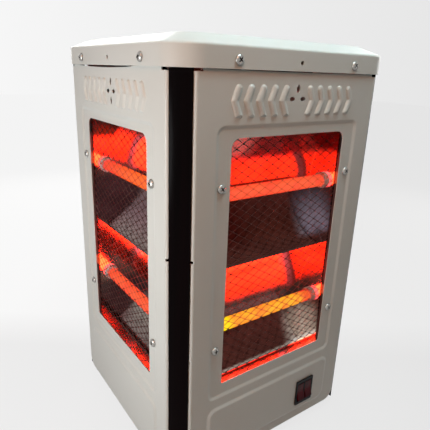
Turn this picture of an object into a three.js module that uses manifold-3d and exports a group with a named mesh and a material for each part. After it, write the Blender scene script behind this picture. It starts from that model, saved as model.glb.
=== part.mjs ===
// A free-standing quartz heater: a square tower with a heating face on each side and one in its top cap.
// Millimetres, +Z up, origin on the floor under the tower's axis, the face with the switch towards -Y.
import * as THREE from "three";
import { mergeVertices } from "three/addons/utils/BufferGeometryUtils.js";
import Module from "manifold-3d";

const wasm = await Module();
wasm.setup();

// Fits that all pieces share
const SEAT_GAP = 0.3; // between two pieces that rest on each other
const OVERRUN = 1; // how far a cutter runs past what it cuts
const WELD = 0.0001; // points closer than this are one point
const CORNER_STEPS = 3; // straight steps in a rounded corner
const ROUND_SIDES = 12; // sides of a turned piece
const SMALL_SIDES = 8; // sides of tubes, screws, small holes and leads

// Casing
const CASING_HALF = 118; // tower's axis to the outer face of a side panel
const SHEET = 1;
const FLOOR_GAP = 8; // floor to the panels' lower edge
const POST_STRIP = 15; // left between a panel's edge and the next panel's face
const PANEL_VISIBLE = 376; // panel's lower edge to the cap's lip
const PANEL_FOLD = 3; // outer radius of the folds at the panel's upright edges
const PANEL_FLANGE = 12; // depth of those folds
const PANEL_CORNER = 14; // rounding of the two lower corners
const HEM_DEPTH = 9; // lower edge folded in under the base pan
const HEM_MARGIN = 19; // panel's edge to the end of the hem
const TOP_NOTCH_WIDTH = 7;
const TOP_NOTCH_DROP = 3; // part of the notch that shows below the lip
const EDGE_SLOT_HEIGHT = 2.6;
const EDGE_SLOT_DEPTH = 2.2;
const EDGE_SLOT_SHARE = 0.602; // of the visible height

// Window, the sunk field round it and the raised field below it
const FIELD_MARGIN = 22; // panel's edge to the sunk field
const WINDOW_BOTTOM = 93;
const WINDOW_ABOVE = 52; // window's top to the cap's lip
const WINDOW_TOP_CORNER = 8;
const WINDOW_LOW_CORNER = 2;
const FIELD_SIDE = 14.5;
const FIELD_BELOW = 13;
const FIELD_ABOVE = 9;
const FIELD_CORNER = 6;
const SINK = 1.5;
const PLINTH_MARGIN = 21.5;
const PLINTH_BOTTOM = 14;
const PLINTH_GAP = 12.5; // raised field's top to the sunk field
const PLINTH_CORNER = 8;
const RAISE = 1.5;

// Pressed chevrons and vent holes above the window
const CHEVRON_COUNT = 5; // on each side of the vent holes
const CHEVRON_PITCH = 12.4;
const CHEVRON_FIRST = 20.8; // panel's middle to the tip of the innermost
const CHEVRON_BAND = 6.2;
const CHEVRON_LEAN = 4.9;
const CHEVRON_TALL = 24;
const CHEVRON_DROP = 23; // tips below the cap's lip
const CHEVRON_RISE = 2;
const CHEVRON_STEPS = 2; // straight steps in the round top end
const PETAL_HALF_WIDE = 1.8;
const PETAL_HALF_TALL = 3.4;
const PETAL_RISE = 8.4;
const DOT_HALF_WIDE = 2.9;
const DOT_HALF_TALL = 1.8;
const DOT_ACROSS = 6.2;
const DOT_RISE = 1;

// Screws
const SCREW_SHANK = 1.7;
const SCREW_HOLE = SCREW_SHANK + SEAT_GAP;
const SCREW_HEAD = 4;
const SCREW_HEAD_RISE = 2.2;
const SCREW_DOME = 1.2; // height of the head's domed part
const SCREW_LENGTH = 8;
const PANEL_SCREW_SIDE = 9; // outside the window's edge
const PANEL_SCREW_INSET = 39.5; // from the level of the window's ends
const CAP_SCREW_MARGIN = 37; // in from the panel's edge
const CAP_SCREW_RISE = 6.8; // above the lip's lower edge
const CAP_HOLE = 1.8; // small hole in the middle of each lip

// Cap
const CAP_OVERHANG = 2; // beyond the panels
const CAP_LIP = 17;
const CAP_SLOPE_RISE = 8;
const CAP_SLOPE_RUN = 19;
const CAP_CORNER = 26;
const CAP_TOP_CORNER = 16;
const CAP_EDGE = 1.6; // softened edge between lip and slope
const CAP_CORNER_STEPS = 4;
const TOP_WINDOW_CORNER = 8;

// Corner posts
const POST_SET = 1.2; // how far the post's face starts behind the panels' faces
const POST_WALL = 1.6;
const POST_BULGE = 1;
const POST_LEG = 11;
const POST_STEPS = 4;

// Guards: the flat space that the fine netting and its rim take up behind the window
const GUARD_THICK = 1.2;
const GUARD_RIM_SIDE = 13;
const GUARD_RIM_UP = 8;

// Reflectors and tubes
const REFLECTOR_SHEET = 0.8;
const REFLECTOR_SIDE = 5.5; // window's edge to the end walls
const REFLECTOR_DEPTH = 35; // face plane to the deepest line of a trough
const REFLECTOR_LIP = 2.5; // rise of the sloped lip between trough and rim
const REFLECTOR_RIM = 7;
const TROUGH_STEPS = 7;
const TROUGH_BEYOND = 5.2; // window's end to the outer edge of a trough
const LAND_HALF = 8.4; // land between the two troughs
const SIDE_LAND_DEPTH = 12;
const TOP_LAND_DEPTH = 20;
const TUBE_DEPTH = 18.6;
const TUBE_RADIUS = 6;
const CERAMIC_SHOW = 7.8; // ceramic end that shows inside the window's edge
const CERAMIC_RADIUS = 8;
const CERAMIC_COLLAR = 9.6;
const CERAMIC_COLLAR_WIDE = 2.4;
const CERAMIC_NECK = 4.6;
const CERAMIC_NECK_LONG = 3;

// Base pan and feet
const PAN_WALL = 16;
const PAN_SLOT_COUNT = 6;
const PAN_SLOT_LONG = 44;
const PAN_SLOT_WIDE = 5;
const PAN_SLOT_PITCH = 14;
const FOOT_MARGIN = 28.7; // pan's edge to a foot's middle
const FOOT_RADIUS = 11;
const FOOT_TOP_RADIUS = 9;
const FOOT_CHAMFER = 1;
const FOOT_STUD = 3;
const FOOT_BARB = 4.2;
const FOOT_BARB_TALL = 3;

// Switch
const SWITCH_MARGIN = 55.4; // panel's edge to the switch's middle
const SWITCH_RISE = 36.8; // above the panel's lower edge
const BEZEL_HALF_WIDE = 12.75;
const BEZEL_HALF_TALL = 15.5;
const BEZEL_THICK = 1.5;
const BEZEL_CORNER = 1.5;
const SWITCH_STEP = 2; // bezel beyond the housing
const SWITCH_HOUSING_DEEP = 20;
const POCKET_RIB = 1.4; // between the two rockers
const POCKET_RIM = 2.2;
const POCKET_RIM_TALL = 3.7;
const POCKET_DEEP = 11;
const ROCKER_CLEAR = 0.25;
const ROCKER_END_CLEAR = 1.6;
const ROCKER_PIVOT_DEEP = 6; // pivot behind the pressed half's face
const ROCKER_TILT = THREE.MathUtils.degToRad(9);
const ROCKER_SKIRT_SHARES = [[0.94, 0.9], [0.6, 0.1], [0.22, -0.25]]; // of half height, of pivot depth
const BLADE_WIDE = 6.3;
const BLADE_THICK = 0.8;
const BLADE_LONG = 8;
const BLADE_SPREAD = 7;

// Inside the base: terminal block, tilt switch, gland and leads
const BLOCK_MARGIN = 54.7; // pan's rear edge to the block's middle
const BLOCK_WIDE = 34;
const BLOCK_DEEP = 18;
const BLOCK_TALL = 14;
const BLOCK_WELLS = 3;
const WELL_RADIUS = 3.4;
const WELL_DEEP = 8;
const TILT_MARGIN_X = 82.7; // pan's edges to the tilt switch's middle
const TILT_MARGIN_Y = 68.7;
const TILT_WIDE = 22;
const TILT_DEEP = 15;
const TILT_TALL = 30;
const TILT_EAR = 7;
const TILT_EAR_THICK = 2.4;
const PLUNGER_RADIUS = 3;
const PLUNGER_TIP = 1.4;
const PLUNGER_LONG = 26;
const PLUNGER_TRAVEL = 5;
const GLAND_BORE = 3.9;
const GLAND_NOSE = 5.6;
const GLAND_NECK = 8;
const GLAND_FLANGE = 11;
const GLAND_FLANGE_THICK = 2.4;
const GLAND_NUT = 10.4;
const GLAND_NUT_THICK = 5;
const GLAND_TAIL = 6;
const GLAND_TAIL_LONG = 4;
const LEAD_RADIUS = 3.2;
const SWITCH_LEAD_RADIUS = 2.4;
const LEAD_STEPS = 10;
const LEAD_STRAIGHT = 8; // straight run at each end of a lead
const LEAD_REACH_SHARE = 0.33; // of the run, how far a lead's bend carries its end's direction

// Places worked out from the sizes above
const PANEL_HALF = CASING_HALF - POST_STRIP;
const CAP_HALF = CASING_HALF + CAP_OVERHANG;
const FIELD_HALF = PANEL_HALF - FIELD_MARGIN;
const WINDOW_HALF = FIELD_HALF - FIELD_SIDE;
const WINDOW_HEIGHT = PANEL_VISIBLE - WINDOW_BOTTOM - WINDOW_ABOVE;
const PLINTH_HALF = PANEL_HALF - PLINTH_MARGIN;
const PLINTH_TOP = WINDOW_BOTTOM - FIELD_BELOW - PLINTH_GAP;
const CHEVRON_LEVEL = PANEL_VISIBLE - CHEVRON_DROP;
const HEM_HALF = PANEL_HALF - HEM_MARGIN;
const PANEL_SCREW_ACROSS = WINDOW_HALF + PANEL_SCREW_SIDE;
const PANEL_SCREW_SPREAD = WINDOW_HEIGHT / 2 - PANEL_SCREW_INSET;
const CAP_SCREW_ACROSS = PANEL_HALF - CAP_SCREW_MARGIN;
const REFLECTOR_HALF = WINDOW_HALF + REFLECTOR_SIDE;
const TUBE_GLOW_HALF = WINDOW_HALF - CERAMIC_SHOW;
const SWITCH_ACROSS = PANEL_HALF - SWITCH_MARGIN;
const PANEL_TUCK = CAP_LIP - SHEET; // the panels and posts run up inside the lip and carry the cap
const PANEL_TOP = PANEL_VISIBLE + PANEL_TUCK;
const LIP_BOTTOM = FLOOR_GAP + PANEL_VISIBLE;
const TOP_LEVEL = LIP_BOTTOM + CAP_LIP + CAP_SLOPE_RISE;
const WINDOW_MIDDLE = WINDOW_BOTTOM + WINDOW_HEIGHT / 2;
const WINDOW_TOP = WINDOW_BOTTOM + WINDOW_HEIGHT;
const PAN_UNDER = FLOOR_GAP + SHEET + SEAT_GAP;
const PAN_FLOOR = PAN_UNDER + SHEET;
const PAN_HALF = CASING_HALF - SHEET - SEAT_GAP;
const PAN_CHAMFER = PANEL_HALF - SHEET + CASING_HALF - PANEL_FLANGE - 2 * SEAT_GAP;
const FOOT_PLACE = PAN_HALF - FOOT_MARGIN;
const BLOCK_PLACE_Y = PAN_HALF - BLOCK_MARGIN;
const TILT_PLACE_X = TILT_MARGIN_X - PAN_HALF;
const TILT_PLACE_Y = TILT_MARGIN_Y - PAN_HALF;
const GUARD_DEPTH = SINK + SHEET + SEAT_GAP;
const FLANGE_DEPTH = GUARD_DEPTH + GUARD_THICK + SEAT_GAP;
const BEZEL_FACE = -RAISE - SEAT_GAP - BEZEL_THICK;
const HOUSING_HALF_WIDE = BEZEL_HALF_WIDE - SWITCH_STEP;
const HOUSING_HALF_TALL = BEZEL_HALF_TALL - SWITCH_STEP;
const POCKET_HALF_TALL = BEZEL_HALF_TALL - POCKET_RIM_TALL;
const POCKET_WIDE = BEZEL_HALF_WIDE - POCKET_RIM - POCKET_RIB / 2;
const POCKET_MIDDLE = POCKET_RIB / 2 + POCKET_WIDE / 2;
const ROCKER_HALF_TALL = POCKET_HALF_TALL - ROCKER_END_CLEAR;
const ROCKER_FACE = BEZEL_FACE + SEAT_GAP;
const ROCKER_PIVOT = ROCKER_FACE + ROCKER_PIVOT_DEEP;
const ROCKER_ARM = ROCKER_PIVOT_DEEP / Math.cos(ROCKER_TILT); // pivot to the valley of the face
const ROCKER_REACH = (ROCKER_HALF_TALL / Math.cos(ROCKER_TILT)) * Math.sin(2 * ROCKER_TILT) - ROCKER_FACE;
const BLOCK_BOTTOM = PAN_FLOOR + SEAT_GAP;

// Helpers: three.js geometry to solid and back
function solidOf(geometry) {
  const bare = new THREE.BufferGeometry();
  const loose = geometry.index ? geometry.toNonIndexed() : geometry;
  bare.setAttribute("position", loose.getAttribute("position"));
  const merged = mergeVertices(bare, WELD);
  const corners = merged.index.array;
  const kept = [];
  for (let i = 0; i < corners.length; i += 3) {
    const [a, b, c] = corners.slice(i, i + 3);
    if (a !== b && b !== c && c !== a) kept.push(a, b, c);
  }
  const vertProperties = merged.attributes.position.array;
  return new wasm.Manifold(new wasm.Mesh({ numProp: 3, vertProperties, triVerts: new Uint32Array(kept) }));
}

function geometryOf(solid) {
  const mesh = solid.getMesh();
  const points = new Float32Array(mesh.numVert * 3);
  for (let i = 0; i < mesh.numVert; i++) {
    const start = i * mesh.numProp;
    points.set(mesh.vertProperties.subarray(start, start + 3), i * 3);
  }
  const geometry = new THREE.BufferGeometry();
  geometry.setAttribute("position", new THREE.BufferAttribute(points, 3));
  geometry.setIndex(new THREE.BufferAttribute(mesh.triVerts, 1));
  return geometry.toNonIndexed();
}

// A flat outline in X and Z, pushed through the depth of a face from one depth to another. An arc of an
// outline gets twice as many steps as curveSegments says.
function slab(outline, from, to, steps = CORNER_STEPS) {
  const geometry = new THREE.ExtrudeGeometry(outline, {
    depth: to - from,
    bevelEnabled: false,
    curveSegments: steps / 2,
  });
  return solidOf(geometry.rotateX(Math.PI / 2).translate(0, to, 0));
}

// A plan outline in X and Y, raised from one height to another
function column(outline, from, to, steps = CORNER_STEPS) {
  const geometry = new THREE.ExtrudeGeometry(outline, {
    depth: to - from,
    bevelEnabled: false,
    curveSegments: steps / 2,
  });
  return solidOf(geometry.translate(0, 0, from));
}

// A profile of [radius, height] turned about Z
function turned(profile, sides = ROUND_SIDES) {
  const points = profile.map(([radius, height]) => new THREE.Vector2(radius, height));
  return new THREE.LatheGeometry(points, sides).rotateX(Math.PI / 2);
}

// The same profile turned about Y: height becomes depth behind a face
function turnedIn(profile, sides = ROUND_SIDES) {
  return turned(profile, sides).rotateX(-Math.PI / 2);
}

function box(x0, x1, y0, y1, z0, z1) {
  const geometry = new THREE.BoxGeometry(x1 - x0, y1 - y0, z1 - z0);
  return solidOf(geometry.translate((x0 + x1) / 2, (y0 + y1) / 2, (z0 + z1) / 2));
}

function polygon(points) {
  return new THREE.Shape(points.map(([x, y]) => new THREE.Vector2(x, y)));
}

// A rectangle with its own rounding for the two upper and the two lower corners
function roundedRect(left, right, low, high, lowRound, highRound) {
  const shape = new THREE.Shape();
  shape.moveTo(left + lowRound, low);
  shape.lineTo(right - lowRound, low);
  shape.absarc(right - lowRound, low + lowRound, lowRound, -Math.PI / 2, 0, false);
  shape.lineTo(right, high - highRound);
  shape.absarc(right - highRound, high - highRound, highRound, 0, Math.PI / 2, false);
  shape.lineTo(left + highRound, high);
  shape.absarc(left + highRound, high - highRound, highRound, Math.PI / 2, Math.PI, false);
  shape.lineTo(left, low + lowRound);
  shape.absarc(left + lowRound, low + lowRound, lowRound, Math.PI, 1.5 * Math.PI, false);
  return shape;
}

function oval(x, y, halfWide, halfTall) {
  const shape = new THREE.Shape();
  shape.absellipse(x, y, halfWide, halfTall, 0, 2 * Math.PI, false, 0);
  return shape;
}

function holeThrough(x, z, radius, from, to, sides = SMALL_SIDES) {
  return slab(oval(x, z, radius, radius), from, to, sides);
}

const spread = (distance) => [-distance, distance];

// Side panels
function foldedSection() {
  const outer = PANEL_HALF;
  const inner = PANEL_HALF - SHEET;
  const bend = PANEL_FOLD - SHEET;
  const middle = PANEL_HALF - PANEL_FOLD;
  const section = new THREE.Shape();
  section.moveTo(-outer, PANEL_FLANGE);
  section.lineTo(-outer, PANEL_FOLD);
  section.absarc(-middle, PANEL_FOLD, PANEL_FOLD, Math.PI, 1.5 * Math.PI, false);
  section.lineTo(middle, 0);
  section.absarc(middle, PANEL_FOLD, PANEL_FOLD, -Math.PI / 2, 0, false);
  section.lineTo(outer, PANEL_FLANGE);
  section.lineTo(inner, PANEL_FLANGE);
  section.lineTo(inner, PANEL_FOLD);
  section.absarc(middle, PANEL_FOLD, bend, 0, -Math.PI / 2, true);
  section.lineTo(-middle, SHEET);
  section.absarc(-middle, PANEL_FOLD, bend, -Math.PI / 2, -Math.PI, true);
  section.lineTo(-inner, PANEL_FLANGE);
  return section;
}

function panelOutline() {
  const notchLevel = PANEL_VISIBLE - TOP_NOTCH_DROP;
  const narrow = PANEL_HALF - TOP_NOTCH_WIDTH;
  const straight = PANEL_HALF - PANEL_CORNER;
  const outline = new THREE.Shape();
  outline.moveTo(-straight, 0);
  outline.lineTo(straight, 0);
  outline.absarc(straight, PANEL_CORNER, PANEL_CORNER, -Math.PI / 2, 0, false);
  outline.lineTo(PANEL_HALF, notchLevel);
  outline.lineTo(narrow, notchLevel);
  outline.lineTo(narrow, PANEL_TOP);
  outline.lineTo(-narrow, PANEL_TOP);
  outline.lineTo(-narrow, notchLevel);
  outline.lineTo(-PANEL_HALF, notchLevel);
  outline.lineTo(-PANEL_HALF, PANEL_CORNER);
  outline.absarc(-straight, PANEL_CORNER, PANEL_CORNER, Math.PI, 1.5 * Math.PI, false);
  return outline;
}

function chevron(tip, side) {
  const half = CHEVRON_TALL / 2;
  const round = CHEVRON_BAND / 2;
  const crown = tip - CHEVRON_LEAN - round;
  const points = [
    [tip - CHEVRON_LEAN, -half],
    [tip, 0],
    [tip - CHEVRON_LEAN, half - round],
  ];
  for (let i = 1; i <= CHEVRON_STEPS; i++) {
    const turn = (Math.PI * i) / (CHEVRON_STEPS + 1);
    points.push([crown + round * Math.cos(turn), half - round + round * Math.sin(turn)]);
  }
  points.push([tip - CHEVRON_LEAN - CHEVRON_BAND, half - round]);
  points.push([tip - CHEVRON_BAND, 0]);
  points.push([tip - CHEVRON_LEAN - CHEVRON_BAND, -half]);
  return polygon(points.map(([x, z]) => [side * x, CHEVRON_LEVEL + z]));
}

// The sunk field and its window, cut into a sheet whose outer face is at depth zero
function sinkField(sheet, low, high, windowShape) {
  const half = FIELD_HALF;
  const round = FIELD_CORNER + SHEET;
  const field = roundedRect(-half, half, low, high, FIELD_CORNER, FIELD_CORNER);
  const around = roundedRect(-half - SHEET, half + SHEET, low - SHEET, high + SHEET, round, round);
  return sheet
    .subtract(slab(field, -OVERRUN, SHEET + OVERRUN))
    .add(slab(around, 0, SINK + SHEET))
    .subtract(slab(field, -OVERRUN, SINK))
    .subtract(slab(windowShape, -OVERRUN, SINK + SHEET + OVERRUN));
}

function raiseField(sheet) {
  const field = (inset) => {
    const half = PLINTH_HALF - inset;
    const round = PLINTH_CORNER - inset;
    return roundedRect(-half, half, PLINTH_BOTTOM + inset, PLINTH_TOP - inset, round, round);
  };
  return sheet
    .add(slab(field(0), -RAISE, SHEET))
    .subtract(slab(field(SHEET), SHEET - RAISE, SHEET + OVERRUN));
}

function panelSolid(name) {
  let panel = column(foldedSection(), 0, PANEL_TOP);
  panel = panel.add(box(-HEM_HALF, HEM_HALF, SHEET / 2, HEM_DEPTH, 0, SHEET));
  panel = panel.intersect(slab(panelOutline(), -OVERRUN, PANEL_FLANGE + OVERRUN));
  const windowShape = roundedRect(
    -WINDOW_HALF, WINDOW_HALF, WINDOW_BOTTOM, WINDOW_TOP, WINDOW_LOW_CORNER, WINDOW_TOP_CORNER,
  );
  panel = sinkField(panel, WINDOW_BOTTOM - FIELD_BELOW, WINDOW_TOP + FIELD_ABOVE, windowShape);
  panel = raiseField(panel);
  for (let i = 0; i < CHEVRON_COUNT; i++) {
    const tip = CHEVRON_FIRST + i * CHEVRON_PITCH;
    for (const side of [-1, 1]) panel = panel.add(slab(chevron(tip, side), -CHEVRON_RISE, SHEET / 2));
  }
  const petals = name === "front" ? [PETAL_RISE] : spread(PETAL_RISE);
  const through = [-OVERRUN, SHEET + OVERRUN];
  for (const rise of petals) {
    const petal = oval(0, CHEVRON_LEVEL + DOT_RISE + rise, PETAL_HALF_WIDE, PETAL_HALF_TALL);
    panel = panel.subtract(slab(petal, ...through, SMALL_SIDES));
  }
  for (const x of spread(DOT_ACROSS)) {
    const dot = oval(x, CHEVRON_LEVEL + DOT_RISE, DOT_HALF_WIDE, DOT_HALF_TALL);
    panel = panel.subtract(slab(dot, ...through, SMALL_SIDES));
  }
  for (const x of spread(CAP_SCREW_ACROSS)) {
    panel = panel.subtract(holeThrough(x, PANEL_VISIBLE + CAP_SCREW_RISE, SCREW_HOLE, ...through));
  }
  for (const x of spread(PANEL_SCREW_ACROSS)) {
    for (const z of spread(PANEL_SCREW_SPREAD)) {
      const hole = holeThrough(x, WINDOW_MIDDLE + z, SCREW_HOLE, 0, SINK + SHEET + OVERRUN);
      panel = panel.subtract(hole);
    }
  }
  const slotLevel = EDGE_SLOT_SHARE * PANEL_VISIBLE;
  for (const side of [-1, 1]) {
    const edges = [side * (PANEL_HALF - EDGE_SLOT_DEPTH), side * (PANEL_HALF + OVERRUN)];
    panel = panel.subtract(box(
      Math.min(...edges), Math.max(...edges), -OVERRUN, PANEL_FLANGE / 2,
      slotLevel - EDGE_SLOT_HEIGHT / 2, slotLevel + EDGE_SLOT_HEIGHT / 2,
    ));
  }
  if (name === "front") {
    const wide = HOUSING_HALF_WIDE + SEAT_GAP;
    const tall = HOUSING_HALF_TALL + SEAT_GAP;
    panel = panel.subtract(box(
      SWITCH_ACROSS - wide, SWITCH_ACROSS + wide, -RAISE - OVERRUN, SHEET,
      SWITCH_RISE - tall, SWITCH_RISE + tall,
    ));
  }
  if (name === "rear") {
    const radius = GLAND_NECK + SEAT_GAP;
    const hole = holeThrough(-SWITCH_ACROSS, SWITCH_RISE, radius, -RAISE - OVERRUN, SHEET, ROUND_SIDES);
    panel = panel.subtract(hole);
  }
  return panel;
}

// Guards
function guardSolid(halfHeight, screwed) {
  const wide = WINDOW_HALF + GUARD_RIM_SIDE;
  const tall = halfHeight + GUARD_RIM_UP;
  const back = GUARD_DEPTH + GUARD_THICK;
  const outline = roundedRect(-wide, wide, -tall, tall, FIELD_CORNER, FIELD_CORNER);
  let guard = slab(outline, GUARD_DEPTH, back);
  for (const x of screwed ? spread(PANEL_SCREW_ACROSS) : []) {
    for (const z of spread(PANEL_SCREW_SPREAD)) {
      guard = guard.subtract(holeThrough(x, z, SCREW_HOLE, GUARD_DEPTH - OVERRUN, back + OVERRUN));
    }
  }
  return guard;
}

// Reflectors: two troughs side by side, as a line of [depth, height] points from the top down
function tubeSpread(halfHeight) {
  return (halfHeight + TROUGH_BEYOND + LAND_HALF) / 2;
}

function troughLine(halfHeight, landDepth) {
  const chord = (halfHeight + TROUGH_BEYOND - LAND_HALF) / 2;
  const sag = REFLECTOR_DEPTH - landDepth;
  const radius = (chord * chord + sag * sag) / (2 * sag);
  const half = Math.asin(chord / radius);
  const mouth = halfHeight + TROUGH_BEYOND + REFLECTOR_LIP;
  const points = [[FLANGE_DEPTH, mouth]];
  for (const middle of [tubeSpread(halfHeight), -tubeSpread(halfHeight)]) {
    for (let i = 0; i <= TROUGH_STEPS; i++) {
      const angle = half - (2 * half * i) / TROUGH_STEPS;
      const depth = REFLECTOR_DEPTH - radius + radius * Math.cos(angle);
      points.push([depth, middle + radius * Math.sin(angle)]);
    }
  }
  points.push([FLANGE_DEPTH, -mouth]);
  return points;
}

// The same line moved sideways by one thickness, with mitred corners
function offsetLine(points, thick) {
  return points.map((point, i) => {
    const before = points[Math.max(i - 1, 0)];
    const after = points[Math.min(i + 1, points.length - 1)];
    const normals = [[before, point], [point, after]]
      .filter(([a, b]) => a !== b)
      .map(([a, b]) => {
        const long = Math.hypot(b[0] - a[0], b[1] - a[1]);
        return [(a[1] - b[1]) / long, (b[0] - a[0]) / long];
      });
    const first = normals[0];
    const last = normals[normals.length - 1];
    const scale = thick / (1 + first[0] * last[0] + first[1] * last[1]);
    return [point[0] + scale * (first[0] + last[0]), point[1] + scale * (first[1] + last[1])];
  });
}

// An outline of [depth, height] pushed along X
function sideways(outline, from, to) {
  const geometry = new THREE.ExtrudeGeometry(polygon(outline), { depth: to - from, bevelEnabled: false });
  const turn = new THREE.Matrix4().set(0, 0, 1, from, 1, 0, 0, 0, 0, 1, 0, 0, 0, 0, 0, 1);
  return geometry.applyMatrix4(turn);
}

function reflectorSolid(halfHeight, landDepth, screwed) {
  const front = troughLine(halfHeight, landDepth);
  const mouth = front[0][1];
  const high = mouth + REFLECTOR_RIM;
  const outer = REFLECTOR_HALF + REFLECTOR_SHEET;
  const before = FLANGE_DEPTH - OVERRUN;
  const behind = FLANGE_DEPTH + REFLECTOR_SHEET;
  const hollow = [[before, mouth], ...front, [before, -mouth]];
  let reflector = box(-FIELD_HALF, FIELD_HALF, FLANGE_DEPTH, behind, -high, high)
    .add(solidOf(sideways(offsetLine(front, REFLECTOR_SHEET), -outer, outer)))
    .subtract(solidOf(sideways(hollow, -REFLECTOR_HALF, REFLECTOR_HALF)));
  for (const x of screwed ? spread(PANEL_SCREW_ACROSS) : []) {
    for (const z of spread(PANEL_SCREW_SPREAD)) {
      reflector = reflector.subtract(holeThrough(x, z, SCREW_HOLE, before, behind + OVERRUN));
    }
  }
  for (const z of spread(tubeSpread(halfHeight))) {
    const bore = turned([
      [0, -outer - OVERRUN],
      [CERAMIC_RADIUS + SEAT_GAP, -outer - OVERRUN],
      [CERAMIC_RADIUS + SEAT_GAP, outer + OVERRUN],
      [0, outer + OVERRUN],
    ], SMALL_SIDES);
    reflector = reflector.subtract(solidOf(bore.rotateY(Math.PI / 2).translate(0, TUBE_DEPTH, z)));
  }
  return reflector;
}

// Quartz tube with its two ceramic ends, lying along X
function tubeGeometry() {
  const collar = REFLECTOR_HALF + REFLECTOR_SHEET + SEAT_GAP;
  const collarEnd = collar + CERAMIC_COLLAR_WIDE;
  const half = [
    [TUBE_RADIUS, TUBE_GLOW_HALF],
    [CERAMIC_RADIUS, TUBE_GLOW_HALF],
    [CERAMIC_RADIUS, collar],
    [CERAMIC_COLLAR, collar],
    [CERAMIC_COLLAR, collarEnd],
    [CERAMIC_NECK, collarEnd],
    [CERAMIC_NECK, collarEnd + CERAMIC_NECK_LONG],
    [0, collarEnd + CERAMIC_NECK_LONG],
  ];
  const mirrored = half.map(([radius, along]) => [radius, -along]).reverse();
  return turned([...mirrored, ...half], SMALL_SIDES).rotateY(Math.PI / 2);
}

// Screw driven in along +Y, its seat at depth zero
function screwGeometry() {
  const seat = -SEAT_GAP;
  return turnedIn([
    [0, seat - SCREW_HEAD_RISE],
    [SCREW_HEAD / 2, seat - SCREW_HEAD_RISE],
    [SCREW_HEAD, seat - SCREW_HEAD_RISE + SCREW_DOME],
    [SCREW_HEAD, seat],
    [SCREW_SHANK, seat],
    [SCREW_SHANK, SCREW_LENGTH - SCREW_SHANK],
    [0, SCREW_LENGTH],
  ], SMALL_SIDES);
}

// A closed skin over rounded squares of [height, half width, corner radius], lowest first
function loftedSquares(rings) {
  const loops = rings.map(([height, half, corner]) => {
    const loop = [];
    for (let quarter = 0; quarter < 4; quarter++) {
      for (let i = 0; i <= CAP_CORNER_STEPS; i++) {
        const angle = (Math.PI / 2) * (quarter + i / CAP_CORNER_STEPS);
        const middle = (Math.PI / 2) * (quarter + 1 / 2);
        const reach = (half - corner) * Math.SQRT2;
        loop.push([
          reach * Math.cos(middle) + corner * Math.cos(angle),
          reach * Math.sin(middle) + corner * Math.sin(angle),
          height,
        ]);
      }
    }
    return loop;
  });
  const count = loops[0].length;
  const points = [];
  for (let k = 0; k + 1 < loops.length; k++) {
    for (let i = 0; i < count; i++) {
      const next = (i + 1) % count;
      const [a, b, c, d] = [loops[k][i], loops[k][next], loops[k + 1][next], loops[k + 1][i]];
      points.push(a, b, c, a, c, d);
    }
  }
  const low = loops[0];
  const high = loops[loops.length - 1];
  for (let i = 1; i + 1 < count; i++) {
    points.push(low[0], low[i + 1], low[i]);
    points.push(high[0], high[i], high[i + 1]);
  }
  const geometry = new THREE.BufferGeometry();
  geometry.setAttribute("position", new THREE.Float32BufferAttribute(points.flat(), 3));
  return solidOf(geometry);
}

function capSolid() {
  const slopeStart = LIP_BOTTOM + CAP_LIP;
  const topHalf = CAP_HALF - CAP_SLOPE_RUN;
  const outside = loftedSquares([
    [LIP_BOTTOM, CAP_HALF, CAP_CORNER],
    [slopeStart - CAP_EDGE, CAP_HALF, CAP_CORNER],
    [slopeStart + CAP_EDGE / 2, CAP_HALF - CAP_EDGE, CAP_CORNER - CAP_EDGE / 2],
    [TOP_LEVEL - CAP_EDGE / 4, topHalf, CAP_TOP_CORNER],
    [TOP_LEVEL, topHalf - CAP_EDGE, CAP_TOP_CORNER - CAP_EDGE / 2],
  ]);
  const inside = loftedSquares([
    [LIP_BOTTOM - OVERRUN, CAP_HALF - SHEET, CAP_CORNER - SHEET],
    [slopeStart - SHEET, CAP_HALF - SHEET, CAP_CORNER - SHEET],
    [TOP_LEVEL - SHEET, topHalf - SHEET, CAP_TOP_CORNER],
  ]);
  let cap = outside.subtract(inside);
  const half = WINDOW_HALF;
  const windowShape = roundedRect(-half, half, -half, half, TOP_WINDOW_CORNER, TOP_WINDOW_CORNER);
  // The top is worked as a face: depth runs down from the top plane, and the outline's height runs to +Y
  const asFace = (solid, back) => {
    const geometry = geometryOf(solid);
    if (back) geometry.rotateX(-Math.PI / 2).translate(0, 0, TOP_LEVEL);
    else geometry.translate(0, 0, -TOP_LEVEL).rotateX(Math.PI / 2);
    return solidOf(geometry);
  };
  cap = asFace(sinkField(asFace(cap, false), -FIELD_HALF, FIELD_HALF, windowShape), true);
  const lip = [-CAP_HALF - OVERRUN, -CAP_HALF + SHEET + OVERRUN];
  for (let turn = 0; turn < 4; turn++) {
    for (const x of [-CAP_SCREW_ACROSS, 0, CAP_SCREW_ACROSS]) {
      const radius = x ? SCREW_HOLE : CAP_HOLE;
      const hole = holeThrough(x, LIP_BOTTOM + CAP_SCREW_RISE, radius, ...lip);
      cap = cap.subtract(solidOf(geometryOf(hole).rotateZ((turn * Math.PI) / 2)));
    }
  }
  return cap;
}

// Corner post, drawn for the corner at -X and -Y
function postOutline() {
  const near = PANEL_HALF + SEAT_GAP;
  const far = CASING_HALF - POST_SET;
  const legEnd = far - POST_LEG;
  const slope = near + far - POST_WALL * Math.SQRT2;
  const inner = near + POST_WALL;
  const points = [];
  for (let i = 0; i <= POST_STEPS; i++) {
    const share = i / POST_STEPS;
    const bulge = 4 * share * (1 - share) * POST_BULGE * Math.SQRT1_2;
    points.push([-near - share * (far - near) - bulge, -far + share * (far - near) - bulge]);
  }
  points.push([-legEnd, -near], [-legEnd, -inner], [inner - slope, -inner]);
  points.push([-inner, inner - slope], [-inner, -legEnd], [-near, -legEnd]);
  return polygon(points);
}

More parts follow.
